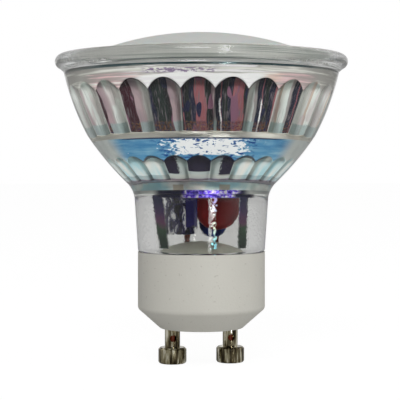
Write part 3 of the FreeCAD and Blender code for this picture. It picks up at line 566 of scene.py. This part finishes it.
def film_place(tree):
    """Where a point of the film lies, and the patterns that run along its flute.

    Angles are in degrees from the front, folded so that the back of the lamp is like its front.
    """
    where = tree.place()
    height = tree.height(where)
    # A full turn is added, so that no flute has a number below 0
    turns = tree.math("SUBTRACT", tree.turn(where), FLUTE_TURN - FLUTE_PITCH / 2 - 360)
    turns = tree.math("DIVIDE", turns, FLUTE_PITCH)
    number = tree.math("FLOOR", turns)
    across = tree.linear(tree.math("SUBTRACT", turns, number), 2.0, -1.0)
    middle = tree.linear(number, FLUTE_PITCH, FLUTE_TURN - 360 - FRONT)
    folded = tree.math("FLOORED_MODULO", tree.math("ADD", middle, 90.0), 180.0)
    facing = tree.math("SUBTRACT", folded, 90.0)
    bearing = tree.linear(across, FLUTE_PITCH / 2, facing)
    own = tree.add("ShaderNodeTexWhiteNoise", {"W": number}, noise_dimensions="1D")
    shares = {"X": tree.times(across, 0.4), "Y": tree.times(height, 0.2), "Z": number}
    climb = tree.add("ShaderNodeCombineXYZ", shares).outputs["Vector"]
    return SimpleNamespace(
        where=where,
        height=height,
        across=across,
        facing=facing,
        bearing=bearing,
        around=tree.math("ABSOLUTE", bearing),
        own=own.outputs["Value"],
        climb=climb,
        ragged=tree.noise(tree.scaled(climb, 4.0, 5.0, 1.0), 6.0, 3.0, 0.6),
        # Noise for the mottled colours in the painted reflection
        mottle=tree.noise(tree.scaled(climb, 1.8, 0.5, 2.3), 2.0, 1.0, 0.4),
    )


def mirrored_angle(tree, at):
    """The angle of the painted reflection that an upper flute carries at a point."""
    wobble = tree.noise(at.climb, 1.6, 2.0, 0.4)
    return tree.plus(
        tree.linear(at.across, -45.0, tree.times(at.facing, 1.6)),
        tree.linear(wobble, 18.0, -9.0),
        tree.linear(at.own, 8.0, -4.0),
        tree.linear(at.height, -1.2, PANE_MIDDLE * 1.2),
        tree.smooth(at.facing, 34.0, 56.0, 0.0, 24.0),
    )


def dark_panes(tree, at, view, dark, panes):
    """The painted reflection in the dark panes: rose in front and right of it, maroon left of it, flecks and
    mottled patches.
    """
    rose = tree.times(tree.window(view, -21.0, -20.0, 8.0, 9.0), tree.smooth(at.facing, -9.0, -8.0))
    rose = tree.math("MAXIMUM", rose, tree.window(view, 40.0, 41.0, 43.0, 44.0))
    streak = tree.noise(tree.scaled(at.climb, 9.0, 0.5, 1.0), 3.0, 2.0, 0.5)
    panes = tree.mix(rose, panes, tree.mix(streak, rgb(122, 66, 68), rgb(172, 112, 118)))
    panes = tree.mix(tree.times(dark, tree.smooth(at.facing, -23.0, -25.0)), panes, rgb(62, 30, 40))
    flecks = tree.noise(tree.scaled(at.climb, 9.0, 4.0, 1.0), 5.0, 3.0, 0.7)
    panes = tree.mix(tree.times(tree.smooth(flecks, 0.62, 0.68), dark, 0.6), panes, rgb(160, 156, 160))
    fine = tree.noise(tree.scaled(at.climb, 7.0, 0.5, 1.0), 4.0, 2.0, 0.6)
    panes = tree.mix(tree.times(tree.smooth(fine, 0.54, 0.68), dark), panes, rgb(112, 104, 108))
    panes = tree.mix(tree.times(tree.smooth(at.mottle, 0.64, 0.65), dark), panes, rgb(132, 92, 112))
    return tree.mix(tree.times(tree.smooth(at.mottle, 0.34, 0.33), dark), panes, rgb(34, 38, 66))


def add_glints(tree, at, view, panes):
    """Upright glints: painted highlights of the strip lamp."""
    glint = tree.distance(view, tree.linear(at.ragged, 12.0, 38.0))
    glint = tree.times(tree.smooth(glint, 3.0, 1.6), tree.window(at.facing, 4.0, 8.0, 30.0, 36.0))
    glint = tree.times(glint, tree.smooth(at.height, GLINT_TOP, GLINT_TOP - 0.6))
    return tree.mix(glint, panes, rgb(248, 248, 246))


def add_foot(tree, at, dark, pale, panes):
    """Near the foot the painted reflection turns teal in the pale panes and warm in the dark ones."""
    foot = tree.smooth(tree.linear(at.ragged, 0.8, at.height), PANE_FOOT, PANE_FOOT - 0.3)
    teal = tree.mix(at.ragged, rgb(112, 142, 138), rgb(178, 204, 204))
    panes = tree.mix(tree.times(foot, pale, 0.7), panes, teal)
    warm = tree.ramp(
        tree.noise(tree.scaled(at.climb, 5.0, 6.0, 1.0), 3.0, 1.0),
        (0.44, rgb(28, 28, 44)),
        (0.46, rgb(120, 66, 44)),
        (0.52, rgb(134, 62, 48)),
        (0.53, rgb(150, 150, 60)),
        (0.57, rgb(40, 44, 84)),
    )
    return tree.mix(tree.times(foot, dark, 0.6), panes, warm)


def crown_colour(tree, at):
    """The wall above the arches, a painted reflection: level streaks, blush at the sides, a painted white
    highlight and purple patches in front.
    """
    drift = tree.noise(tree.scaled(at.where, 1, 1, 0.3), 90, 2.0, 0.5)
    lines = tree.noise(tree.scaled(at.where, 0.25, 0.25, 8), 260, 3.0, 0.6)
    blush = tree.mix(tree.smooth(drift, 0.42, 0.58), rgb(238, 208, 184), rgb(238, 200, 202))
    warmth = tree.window(at.around, 22.0, 34.0, 50.0, 62.0)
    warmth = tree.times(warmth, tree.smooth(at.height, BLUSH_TOP, BLUSH_TOP - 0.3), 0.85)
    crown = tree.mix(warmth, rgb(226, 226, 218), blush)
    crown = tree.mix(tree.smooth(lines, 0.44, 0.54, 0.0, 0.7), crown, rgb(158, 154, 150))
    crown = tree.mix(tree.smooth(lines, 0.43, 0.36, 0.0, 0.8), crown, rgb(246, 246, 240))
    # Painted highlights: a white band along the arches and bright streaks in front
    band = tree.linear(drift, 1.6, tree.math("SUBTRACT", at.height, 0.8))
    white = tree.smooth(band, WHITE_TOP, WHITE_TOP - 0.15)
    white = tree.times(white, tree.smooth(at.around, 30.0, 24.0))
    crown = tree.mix(white, crown, rgb(252, 252, 250))
    bright = tree.times(tree.smooth(lines, 0.54, 0.57), tree.smooth(at.around, 40.0, 24.0))
    crown = tree.mix(bright, crown, rgb(244, 242, 242))
    patches = tree.noise(tree.scaled(at.where, 0.8, 0.8, 2.5), 1300, 3.0, 0.7)
    purple = tree.times(tree.smooth(patches, 0.49, 0.53), tree.window(at.bearing, -27.0, -22.0, 3.0, 8.0))
    purple = tree.times(purple, tree.smooth(tree.distance(at.height, PURPLE_LEVEL), 0.5, 0.3), 0.8)
    crown = tree.mix(purple, crown, rgb(112, 76, 132))
    rim_line = tree.smooth(at.height, RIM_LINE - 0.04, RIM_LINE + 0.04)
    rim_line = tree.times(rim_line, tree.smooth(at.around, 74.0, 40.0, 0.3, 1.0))
    return tree.mix(rim_line, crown, rgb(64, 88, 92))


def above_arch(tree, at, flute):
    """How far a point is above the arch of its flute, in mm."""
    fall = tree.times(tree.math("POWER", at.across, 2.0), flute["drop"])
    return tree.math("SUBTRACT", at.height, tree.math("SUBTRACT", flute["top"], fall))


def upper_tier(tree, at):
    """The upper flutes with their painted reflection of dark, rose and pale panes, and the crown above them.
    """
    view = mirrored_angle(tree, at)
    dark = tree.window(view, -39.0, -37.0, 59.0, 61.0)
    pale = tree.linear(dark, -1.0, 1.0)
    panes = dark_panes(tree, at, view, dark, panorama(tree, view))
    panes = tree.mix(tree.times(tree.smooth(at.mottle, 0.5, 0.6), pale, 0.45), panes, rgb(200, 176, 178))
    panes = add_glints(tree, at, view, panes)
    panes = add_foot(tree, at, dark, pale, panes)
    # Painted lines: valleys dark in front and pale at the sides, and dark arch outlines in front
    valley = tree.smooth(tree.math("ABSOLUTE", at.across), 0.93, 0.97)
    edging = tree.mix(tree.smooth(at.around, 20.0, 34.0), rgb(30, 28, 30), rgb(206, 206, 200))
    panes = tree.mix(tree.times(valley, 0.8), panes, edging)
    hairs = tree.noise(tree.scaled(at.climb, 9.0, 0.4, 1.0), 3.0, 2.0, 0.6)
    panes = tree.mix(tree.times(tree.smooth(hairs, 0.42, 0.36), pale, 0.4), panes, rgb(140, 144, 140))
    above = above_arch(tree, at, UPPER_FLUTE)
    outline = tree.times(tree.smooth(above, -0.16, -0.1), tree.smooth(at.around, 44.0, 34.0), 0.8)
    panes = tree.mix(outline, panes, rgb(34, 26, 34))
    return tree.mix(tree.smooth(above, -0.04, 0.04), panes, crown_colour(tree, at))


def lower_tier(tree, at):
    """The lower flutes with their painted reflection, half-dark panes in front, and the blue band above them.
    """
    aside = tree.math("ABSOLUTE", at.facing)
    in_front = tree.smooth(aside, 24.0, 20.0)
    outer = tree.times(at.across, tree.math("SIGN", at.facing))
    outer = tree.plus(outer, tree.linear(at.ragged, 1.2, -0.6))
    dark = tree.times(tree.smooth(outer, -0.12, -0.04), in_front)
    dark = tree.math("MAXIMUM", dark, tree.smooth(aside, 8.0, 6.0))
    dark_foot = tree.linear(at.own, -0.8, at.height)
    dark = tree.times(dark, tree.smooth(dark_foot, LOW_DARK_FOOT, LOW_DARK_FOOT + 0.1))
    pale = tree.ramp(
        at.mottle, (0.35, rgb(176, 214, 220)), (0.5, rgb(214, 228, 226)), (0.65, rgb(236, 234, 226))
    )
    pale = tree.mix(in_front, pale, rgb(184, 194, 190))
    panes = tree.mix(dark, pale, tree.mix(at.ragged, rgb(22, 24, 44), rgb(44, 34, 56)))
    sill = tree.mix(tree.smooth(at.around, 24.0, 36.0), rgb(196, 198, 188), rgb(126, 150, 154))
    panes = tree.mix(tree.times(tree.smooth(at.height, SILL_TOP, SILL_TOP - 0.1), 0.6), panes, sill)
    foot_edge = tree.smooth(tree.distance(at.height, LOWER_FLUTE["foot"] + 0.05), 0.16, 0.1)
    panes = tree.mix(tree.times(foot_edge, 0.7), panes, rgb(96, 50, 84))
    above = above_arch(tree, at, LOWER_FLUTE)
    ragged_top = tree.linear(at.ragged, 0.24, tree.math("SUBTRACT", above, 0.12))
    outline = tree.times(tree.smooth(ragged_top, -0.3, -0.2), tree.smooth(at.around, 50.0, 36.0), 0.8)
    panes = tree.mix(outline, panes, rgb(24, 34, 66))
    return tree.mix(tree.smooth(above, -0.04, 0.04), panes, blue_band(tree, at))


def blue_band(tree, at):
    """The plain wall between the tiers: blue, with a painted white sparkle highlight in front."""
    blue = tree.ramp(
        tree.noise(tree.scaled(at.where, 0.5, 0.5, 4), 420, 3.0),
        (0.35, rgb(66, 132, 178)),
        (0.5, rgb(90, 152, 190)),
        (0.7, rgb(134, 182, 204)),
    )
    blue = tree.mix(tree.smooth(at.around, 48.0, 62.0, 0.0, 0.9), blue, rgb(200, 202, 194))
    peel = tree.noise(tree.scaled(at.where, 0.8, 0.8, 2.2), 1150, 3.0, 0.6, 0.6)
    from_painted_sparkle = tree.distance(at.bearing, SPARK_BEARING)
    deep = tree.times(tree.smooth(peel, 0.43, 0.39), tree.smooth(from_painted_sparkle, 36.0, 24.0))
    blue = tree.mix(deep, blue, rgb(16, 70, 140))
    spark = tree.smooth(tree.plus(peel, tree.smooth(from_painted_sparkle, 10.0, 36.0, 0.0, -0.3)), 0.4, 0.44)
    reach = tree.distance(tree.linear(peel, 1.6, at.height), SPARK_LEVEL)
    return tree.mix(tree.times(spark, tree.smooth(reach, 1.3, 1.1)), blue, rgb(250, 252, 252))


def throat_colour(tree, at):
    """The slope under the lower tier, a painted reflection: pale and teal with beige patches, dark in front,
    and a painted violet glitter highlight at its mouth.
    """
    clouds = tree.noise(tree.scaled(at.where, 1, 1, 0.8), 240, 2.0, 0.4)
    pool = tree.ramp(
        clouds, (0.38, rgb(176, 214, 220)), (0.48, rgb(232, 240, 234)), (0.56, rgb(254, 252, 246))
    )
    tile = tree.smooth(tree.distance(at.around, TILE_BEARING), 5.5, 4.5)
    tile = tree.times(tile, tree.smooth(at.height, TILE_TOP, TILE_TOP - 0.1), 0.75)
    pool = tree.mix(tile, pool, rgb(196, 176, 150))
    glitter = tree.ramp(
        tree.noise(at.where, 1400, 2.0, 0.6),
        (0.4, rgb(56, 34, 160)),
        (0.48, rgb(110, 78, 250)),
        (0.55, rgb(186, 164, 255)),
        (0.61, rgb(252, 252, 255)),
    )
    dusk = tree.mix(tree.smooth(at.around, 40.0, 52.0), rgb(24, 24, 52), rgb(206, 210, 204))
    glitter = tree.mix(tree.window(at.bearing, -20.0, -12.0, 30.0, 40.0), dusk, glitter)
    return tree.mix(tree.smooth(at.height, GLITTER_TOP, GLITTER_TOP - 0.15), pool, glitter)


def film_material():
    """The thin metal film on the fluted inside, tier by tier; its colour is a painted reflection throughout,
    fixed to the film by bearing from the front and repeated at the back.
    """
    tree = new_material("mirror_film")
    at = film_place(tree)
    colour = lower_tier(tree, at)
    below_flutes = tree.smooth(at.height, LOWER_FLUTE["foot"] - 0.1, LOWER_FLUTE["foot"] - 0.2)
    colour = tree.mix(below_flutes, colour, throat_colour(tree, at))
    # A painted dark band under the ring in front
    under_ring = tree.smooth(at.height, RING_FOOT - 0.35, RING_FOOT - 0.2)
    under_ring = tree.times(under_ring, tree.smooth(at.around, 54.0, 40.0))
    colour = tree.mix(under_ring, colour, rgb(22, 44, 84))
    streaks = tree.noise(tree.scaled(at.where, 0.3, 0.3, 5), 300, 2.0)
    ring = tree.mix(streaks, rgb(204, 202, 190), rgb(252, 250, 240))
    colour = tree.mix(tree.smooth(at.height, RING_FOOT - 0.05, RING_FOOT + 0.05), colour, ring)
    above_ring = tree.smooth(at.height, RING[1], RING[1] + 0.1)
    colour = tree.mix(above_ring, colour, upper_tier(tree, at))
    return tree.surface(tree.principled(
        Base_Color=colour,
        Metallic=1.0,
        Roughness=0.3,
        Normal=tree.bump(tree.noise(at.where, 700, 2.0, 0.5), 0.15, 0.0003),
    ))


def edge_strips(tree, where, height, ragged):
    """Where the coat is seen edge on: painted dark reflections as strips at the sides, the left one leaning
    and wider at its top.
    """
    left = tree.smooth(tree.axes(where)["X"], 0.002, -0.002)
    lean = tree.times(left, tree.linear(height, 0.009, -0.009 * STRIP_MIDDLE))
    edge = tree.add("ShaderNodeLayerWeight", {"Blend": 0.5}).outputs["Facing"]
    edge = tree.math("SUBTRACT", tree.plus(edge, tree.linear(ragged, 0.05, -0.025)), lean)
    wider = tree.times(left, tree.smooth(height, STRIP_FOOT, STRIP_TOP, 0.0, 0.028))
    return tree.times(tree.smooth(tree.plus(edge, wider), 0.155, 0.18), tree.smooth(edge, 0.262, 0.25))


def coating_material():
    """The thin violet coat on the neck's bore: clear, with painted dark reflections edge on and in a navy
    patch, and painted pearly and violet highlights up the front and at its mouth.
    """
    tree = new_material("bore_coating")
    where = tree.place()
    height = tree.height(where)
    turn = tree.turn(where)
    ragged = tree.noise(tree.scaled(where, 1, 1, 2), 900, 3.0, 0.7)
    drift = tree.plus(height, tree.linear(ragged, 3.0, -1.5))
    climb = tree.smooth(drift, COAT_FOOT, COAT_TOP)
    colour = tree.ramp(
        climb,
        (0.1, rgb(24, 46, 34)),
        (0.35, rgb(46, 74, 50)),
        (0.5, rgb(96, 52, 84)),
        (0.75, rgb(64, 42, 84)),
        (0.95, rgb(30, 32, 72)),
    )
    # A painted dark reflection: a navy patch between the black and the red part
    navy = tree.smooth(tree.distance(turn, FRONT + NAVY_BEARING), 7.0, 6.0)
    navy = tree.times(navy, tree.smooth(drift, NAVY_FOOT, NAVY_FOOT + 0.8))
    colour = tree.mix(navy, colour, tree.mix(ragged, rgb(14, 16, 58), rgb(34, 24, 104)))
    strips = edge_strips(tree, where, height, ragged)
    skin = tree.principled(Base_Color=colour, Metallic=0.4, Roughness=0.35)
    clear = tree.add("ShaderNodeBsdfTransparent").outputs[0]
    coat = tree.mix_shader(tree.math("MAXIMUM", strips, tree.times(navy, 0.9)), clear, skin)
    # Painted highlights: a streak of pearly sparkles up the front, and violet glitter at the bore's mouth
    painted_sparkles = tree.noise(tree.scaled(where, 1, 1, 0.9), 2100, 2.0, 0.6)
    aside = tree.distance(turn, FRONT + PEARLY_SPARKLE_BEARING)
    painted_sparkles = tree.math("SUBTRACT", painted_sparkles, tree.smooth(aside, 1.0, 5.0, 0.0, 0.3))
    pearly = tree.ramp(
        climb,
        (0.1, rgb(150, 222, 236)),
        (0.4, rgb(244, 246, 226)),
        (0.7, rgb(250, 250, 252)),
        (0.95, rgb(206, 186, 240)),
    )
    violet = tree.ramp(
        tree.noise(where, 1400, 2.0, 0.6),
        (0.4, rgb(60, 36, 170)),
        (0.48, rgb(120, 90, 250)),
        (0.55, rgb(190, 170, 255)),
        (0.62, rgb(250, 250, 255)),
    )
    mouth = tree.smooth(height, COAT_MOUTH, COAT_MOUTH + 0.1)
    around = tree.distance(turn, FRONT + MOUTH_BEARING)
    violet = tree.mix(tree.smooth(around, 32.0, 24.0), rgb(22, 24, 56), violet)
    shine = tree.principled(Base_Color=tree.mix(mouth, pearly, violet), Metallic=1.0, Roughness=0.3)
    lit = tree.times(mouth, tree.smooth(around, 64.0, 50.0))
    lit = tree.math("MAXIMUM", tree.smooth(painted_sparkles, 0.46, 0.5), lit)
    return tree.surface(tree.mix_shader(lit, coat, shine))


def dome_material():
    """Frosted plastic that lets some light in."""
    tree = new_material("frosted_dome")
    grain = tree.noise(tree.place(), 5200, 2.0)
    return tree.surface(tree.principled(
        Base_Color=rgb(222, 223, 219),
        Roughness=0.55,
        Subsurface_Weight=0.25,
        Subsurface_Scale=0.004,
        Normal=tree.bump(grain, 0.15, 0.0001),
    ))


def base_material():
    """Matt off-white moulding with faint specks."""
    tree = new_material("white_ceramic")
    where = tree.place()
    cloud = tree.noise(where, 160, 4.0)
    specks = tree.smooth(tree.noise(where, 1900, 1.0), 0.30, 0.24)
    body = tree.mix(cloud, rgb(204, 202, 193), rgb(211, 209, 200))
    return tree.surface(tree.principled(
        Base_Color=tree.mix(tree.times(specks, 0.4), body, rgb(168, 163, 152)),
        Roughness=0.6,
        Normal=tree.bump(tree.noise(where, 2600, 3.0), 0.2, 0.00015),
    ))


def pin_material():
    """Plated brass, tarnished in upright streaks."""
    tree = new_material("plated_brass")
    where = tree.place()
    tarnish = tree.noise(tree.scaled(where, 1, 1, 0.12), 1400, 3.0, 0.55)
    turning = tree.noise(tree.scaled(where, 0.3, 0.3, 6), 1500, 2.0)
    return tree.surface(tree.principled(
        Base_Color=tree.ramp(
            tarnish,
            (0.38, rgb(48, 41, 30)),
            (0.48, rgb(112, 102, 78)),
            (0.55, rgb(176, 168, 138)),
            (0.62, rgb(248, 244, 226)),
        ),
        Metallic=1.0,
        Roughness=tree.linear(tarnish, 0.2, 0.04),
        Normal=tree.bump(turning, 0.1, 0.0001),
    ))


def seal_material():
    """Clear silicone drawn in level streaks, lighter and darker."""
    tree = new_material("clear_silicone")
    streaks = tree.noise(tree.scaled(tree.place(), 0.06, 0.06, 7), 300, 3.0, 0.6)
    return tree.surface(tree.principled(
        Base_Color=tree.ramp(
            streaks, (0.36, rgb(96, 116, 116)), (0.48, rgb(168, 174, 166)), (0.6, rgb(236, 236, 230))
        ),
        Roughness=0.3,
        Normal=tree.bump(streaks, 0.2, 0.0002),
    ))


def sleeve_material():
    """Black shrunk sleeve with small creases, and painted blue and white highlights on them."""
    tree = new_material("black_sleeve")
    creases_and_painted_shine = tree.noise(tree.scaled(tree.place(), 1, 1, 0.4), 1000, 3.0, 0.65, 0.8)
    return tree.surface(tree.principled(
        Base_Color=tree.ramp(
            creases_and_painted_shine,
            (0.41, rgb(14, 14, 28)),
            (0.49, rgb(44, 38, 92)),
            (0.54, rgb(92, 88, 116)),
            (0.57, rgb(196, 200, 212)),
            (0.6, rgb(250, 250, 252)),
        ),
        Roughness=0.4,
        Specular_IOR_Level=0.15,
        Normal=tree.bump(creases_and_painted_shine, 0.3, 0.0003),
    ))


def gloss_material(name, dark, light, roughness, scale, metallic, specular):
    """A lacquered, moulded or metal skin, its colour drifting between two tones."""
    tree = new_material(name)
    where = tree.place()
    return tree.surface(tree.principled(
        Base_Color=tree.mix(tree.noise(where, scale, 3.0), dark, light),
        Roughness=roughness,
        Metallic=metallic,
        Specular_IOR_Level=specular,
        Normal=tree.bump(tree.noise(where, 3 * scale, 2.0), 0.15, 0.0001),
    ))


# The finish of the parts inside: two tones, roughness, scale of the drift, metallic, specular level
SLOT_MATERIALS = {
    "red_coat": (rgb(104, 4, 8), rgb(126, 10, 14), 0.5, 500, 0.0, 0.15),
    "blue_coat": (rgb(10, 24, 76), rgb(18, 40, 110), 0.5, 500, 0.0, 0.15),
    "tinned_lead": (rgb(180, 180, 178), rgb(206, 206, 204), 0.3, 900, 1.0, 0.5),
    "white_board": (rgb(222, 222, 218), rgb(232, 232, 229), 0.5, 400, 0.0, 0.4),
    "chip_window": (rgb(226, 206, 90), rgb(236, 218, 110), 0.4, 900, 0.0, 0.5),
    "solder": (rgb(170, 170, 172), rgb(200, 200, 202), 0.28, 900, 1.0, 0.5),
    "driver_board": (rgb(40, 84, 52), rgb(54, 104, 64), 0.4, 600, 0.0, 0.4),
    "moulded_package": (rgb(22, 22, 24), rgb(34, 34, 36), 0.5, 900, 0.0, 0.4),
    "ferrite": (rgb(44, 44, 46), rgb(58, 58, 60), 0.55, 900, 0.0, 0.3),
    "copper_winding": (rgb(150, 74, 36), rgb(190, 104, 56), 0.3, 1200, 1.0, 0.5),
    "resistor_coat": (rgb(190, 160, 120), rgb(206, 180, 140), 0.4, 900, 0.0, 0.4),
    "chip_resistor": (rgb(24, 24, 28), rgb(40, 40, 44), 0.4, 900, 0.0, 0.5),
    "red_insulation": (rgb(112, 44, 22), rgb(140, 62, 30), 0.4, 600, 0.0, 0.2),
    "white_insulation": (rgb(206, 204, 198), rgb(220, 218, 212), 0.4, 600, 0.0, 0.3),
    "fill": (rgb(240, 240, 218), rgb(252, 250, 232), 0.5, 500, 0.0, 0.3),
    "cement": (rgb(196, 192, 180), rgb(210, 206, 196), 0.8, 500, 0.0, 0.2),
}


def dress_nodes(special):
    """Give every CAD node the finish of its slot in the record."""
    made = dict(special)
    for entry in frame["record"]["subparts"]:
        slot = entry["material_slot"]
        if slot not in made:
            made[slot] = gloss_material(slot, *SLOT_MATERIALS[slot])
        mesh = frame["nodes"][entry["node"]].data
        mesh.materials.clear()
        mesh.materials.append(made[slot])
        smooth_shade(mesh, SOLID_BEND)


def lining(name, rows, material):
    """A thin skin that lies just inside the glass, under a stretch of its inner surface."""
    mesh = ring_mesh(name, rows, closed=False)
    normals = np.zeros(len(mesh.vertices) * 3)
    mesh.vertex_normals.foreach_get("vector", normals)
    normals = normals.reshape(-1, 3)
    points = np.zeros(len(mesh.vertices) * 3)
    mesh.vertices.foreach_get("co", points)
    points = points.reshape(-1, 3)
    outward = np.sum(normals[:, :2] * points[:, :2], axis=1) >= 0
    into_glass = np.where(outward[:, None], normals, -normals)
    # Under a level ledge the glass is straight down
    into_glass[np.abs(normals[:, 2]) > 0.9] = (0, 0, -1)
    points += into_glass * FILM_DEPTH * MM
    mesh.vertices.foreach_set("co", points.ravel())
    mesh.update()
    smooth_shade(mesh)
    piece(mesh, material, "clear_glass")


def glass_pieces(glass):
    """The pressed glass in place of the solid, the mirror film in its cup and the coat on its bore."""
    shell = ring_mesh("pressed_glass", outer_rows() + cup_rows() + bore_rows(), closed=True)
    smooth_shade(shell)
    piece(shell, glass, "clear_glass", "glass_body")
    lining("reflector_film", cup_rows(), film_material())
    lining("bore_coating", bore_rows()[:COATED_ROWS], coating_material())


def make_camera():
    data = bpy.data.cameras.new("camera")
    camera = in_scene("camera", data)
    turn = math.radians(CAMERA_AZIMUTH)
    camera.location = Vector((math.sin(turn), -math.cos(turn), 0)) * CAMERA_DISTANCE * MM
    camera.location.z = CAMERA_HEIGHT * MM
    camera.rotation_euler = (math.pi / 2, 0, turn)
    data.sensor_width = SENSOR
    data.lens = FOCAL / FRAME * SENSOR
    data.shift_x = (FRAME / 2 - AXIS_X) / FRAME
    data.shift_y = (HORIZON_Y - FRAME / 2) / FRAME
    data.clip_start = 0.01
    bpy.context.scene.camera = camera


def floor_material():
    """A matt floor that the camera sees as white; through the glass it glows, with a painted pool of light
    round the lamp that fades with distance.
    """
    tree = new_material("pale_floor")
    path = tree.add("ShaderNodeLightPath").outputs
    matt = tree.add("ShaderNodeBsdfDiffuse", {"Color": (0.8, 0.8, 0.8, 1.0)})
    away = tree.add("ShaderNodeVectorMath", {0: tree.place()}, operation="LENGTH").outputs["Value"]
    pool = tree.smooth(away, 0.12, 0.19, FLOOR_GLOW, FLOOR_GLOW_FAR)
    strength = tree.mix_value(path["Is Transmission Ray"], FLOOR_GLOW, pool)
    white = tree.add("ShaderNodeEmission", {"Color": (1, 1, 1, 1), "Strength": strength})
    share = tree.linear(path["Is Transmission Ray"], 0.9, path["Is Camera Ray"])
    share = tree.times(share, 0.86)
    return tree.surface(tree.mix_shader(share, matt.outputs[0], white.outputs[0]))


def make_floor():
    mesh = bpy.data.meshes.new("floor")
    corners = [
        (-FLOOR_REACH, FLOOR_EDGE, FLOOR_LEVEL),
        (FLOOR_REACH, FLOOR_EDGE, FLOOR_LEVEL),
        (FLOOR_REACH, FLOOR_REACH, FLOOR_LEVEL),
        (-FLOOR_REACH, FLOOR_REACH, FLOOR_LEVEL),
    ]
    mesh.from_pydata(corners, [], [(0, 1, 2, 3)])
    in_scene("floor", mesh)
    mesh.materials.append(floor_material())


def make_world():
    """A pale studio whose side behind the camera is dark, and white where the camera looks at it."""
    tree = Tree(bpy.data.worlds.new("studio"), "ShaderNodeOutputWorld")
    path = tree.add("ShaderNodeLightPath").outputs
    toward = tree.axes(tree.add("ShaderNodeTexCoord").outputs["Generated"])["Y"]
    reflected = tree.smooth(toward, -0.85, 0.0, 0.03, 0.7)
    strength = tree.mix_value(path["Is Glossy Ray"], WORLD_LIGHT, reflected)
    through = tree.smooth(toward, -0.95, -0.5, 0.08, SEEN_THROUGH_GLASS)
    strength = tree.mix_value(path["Is Transmission Ray"], strength, through)
    strength = tree.math("MAXIMUM", strength, path["Is Camera Ray"])
    background = tree.add("ShaderNodeBackground", {"Color": (1, 1, 1, 1), "Strength": strength})
    bpy.context.scene.world = tree.surface(background.outputs[0])


def make_lamp(name, place, size, watts, target=(0, 0, 0.025)):
    """A rectangular lamp that shines on a target."""
    data = bpy.data.lights.new(name, "AREA")
    data.shape = "RECTANGLE"
    data.size, data.size_y = size
    data.energy = watts
    lamp = in_scene(name, data)
    lamp.location = place
    lamp.rotation_euler = (Vector(target) - Vector(place)).to_track_quat("-Z", "Y").to_euler()


def build():
    make_camera()
    make_floor()
    make_world()
    make_lamp("strip", place=(0.08, -0.4, 0.008), size=(0.045, 0.1), watts=0.4, target=(0, 0, 0.008))
    make_lamp("key", place=(-0.12, -0.45, 0.42), size=(0.22, 0.16), watts=0.9)
    make_lamp("fill_right", place=(0.5, -0.2, 0.25), size=(0.25, 0.35), watts=0.3)
    glass = glass_material()
    dress_nodes({
        "clear_glass": glass,
        "frosted_dome": dome_material(),
        "white_ceramic": base_material(),
        "plated_brass": pin_material(),
        "black_sleeve": sleeve_material(),
        "clear_silicone": seal_material(),
    })
    glass_pieces(glass)
    scene = bpy.context.scene
    scene.view_settings.view_transform = "Standard"
    scene.cycles.max_bounces = 24
    scene.cycles.transmission_bounces = 16
    scene.cycles.glossy_bounces = 12
    scene.cycles.transparent_max_bounces = 16
    scene.cycles.use_denoising = True


build()
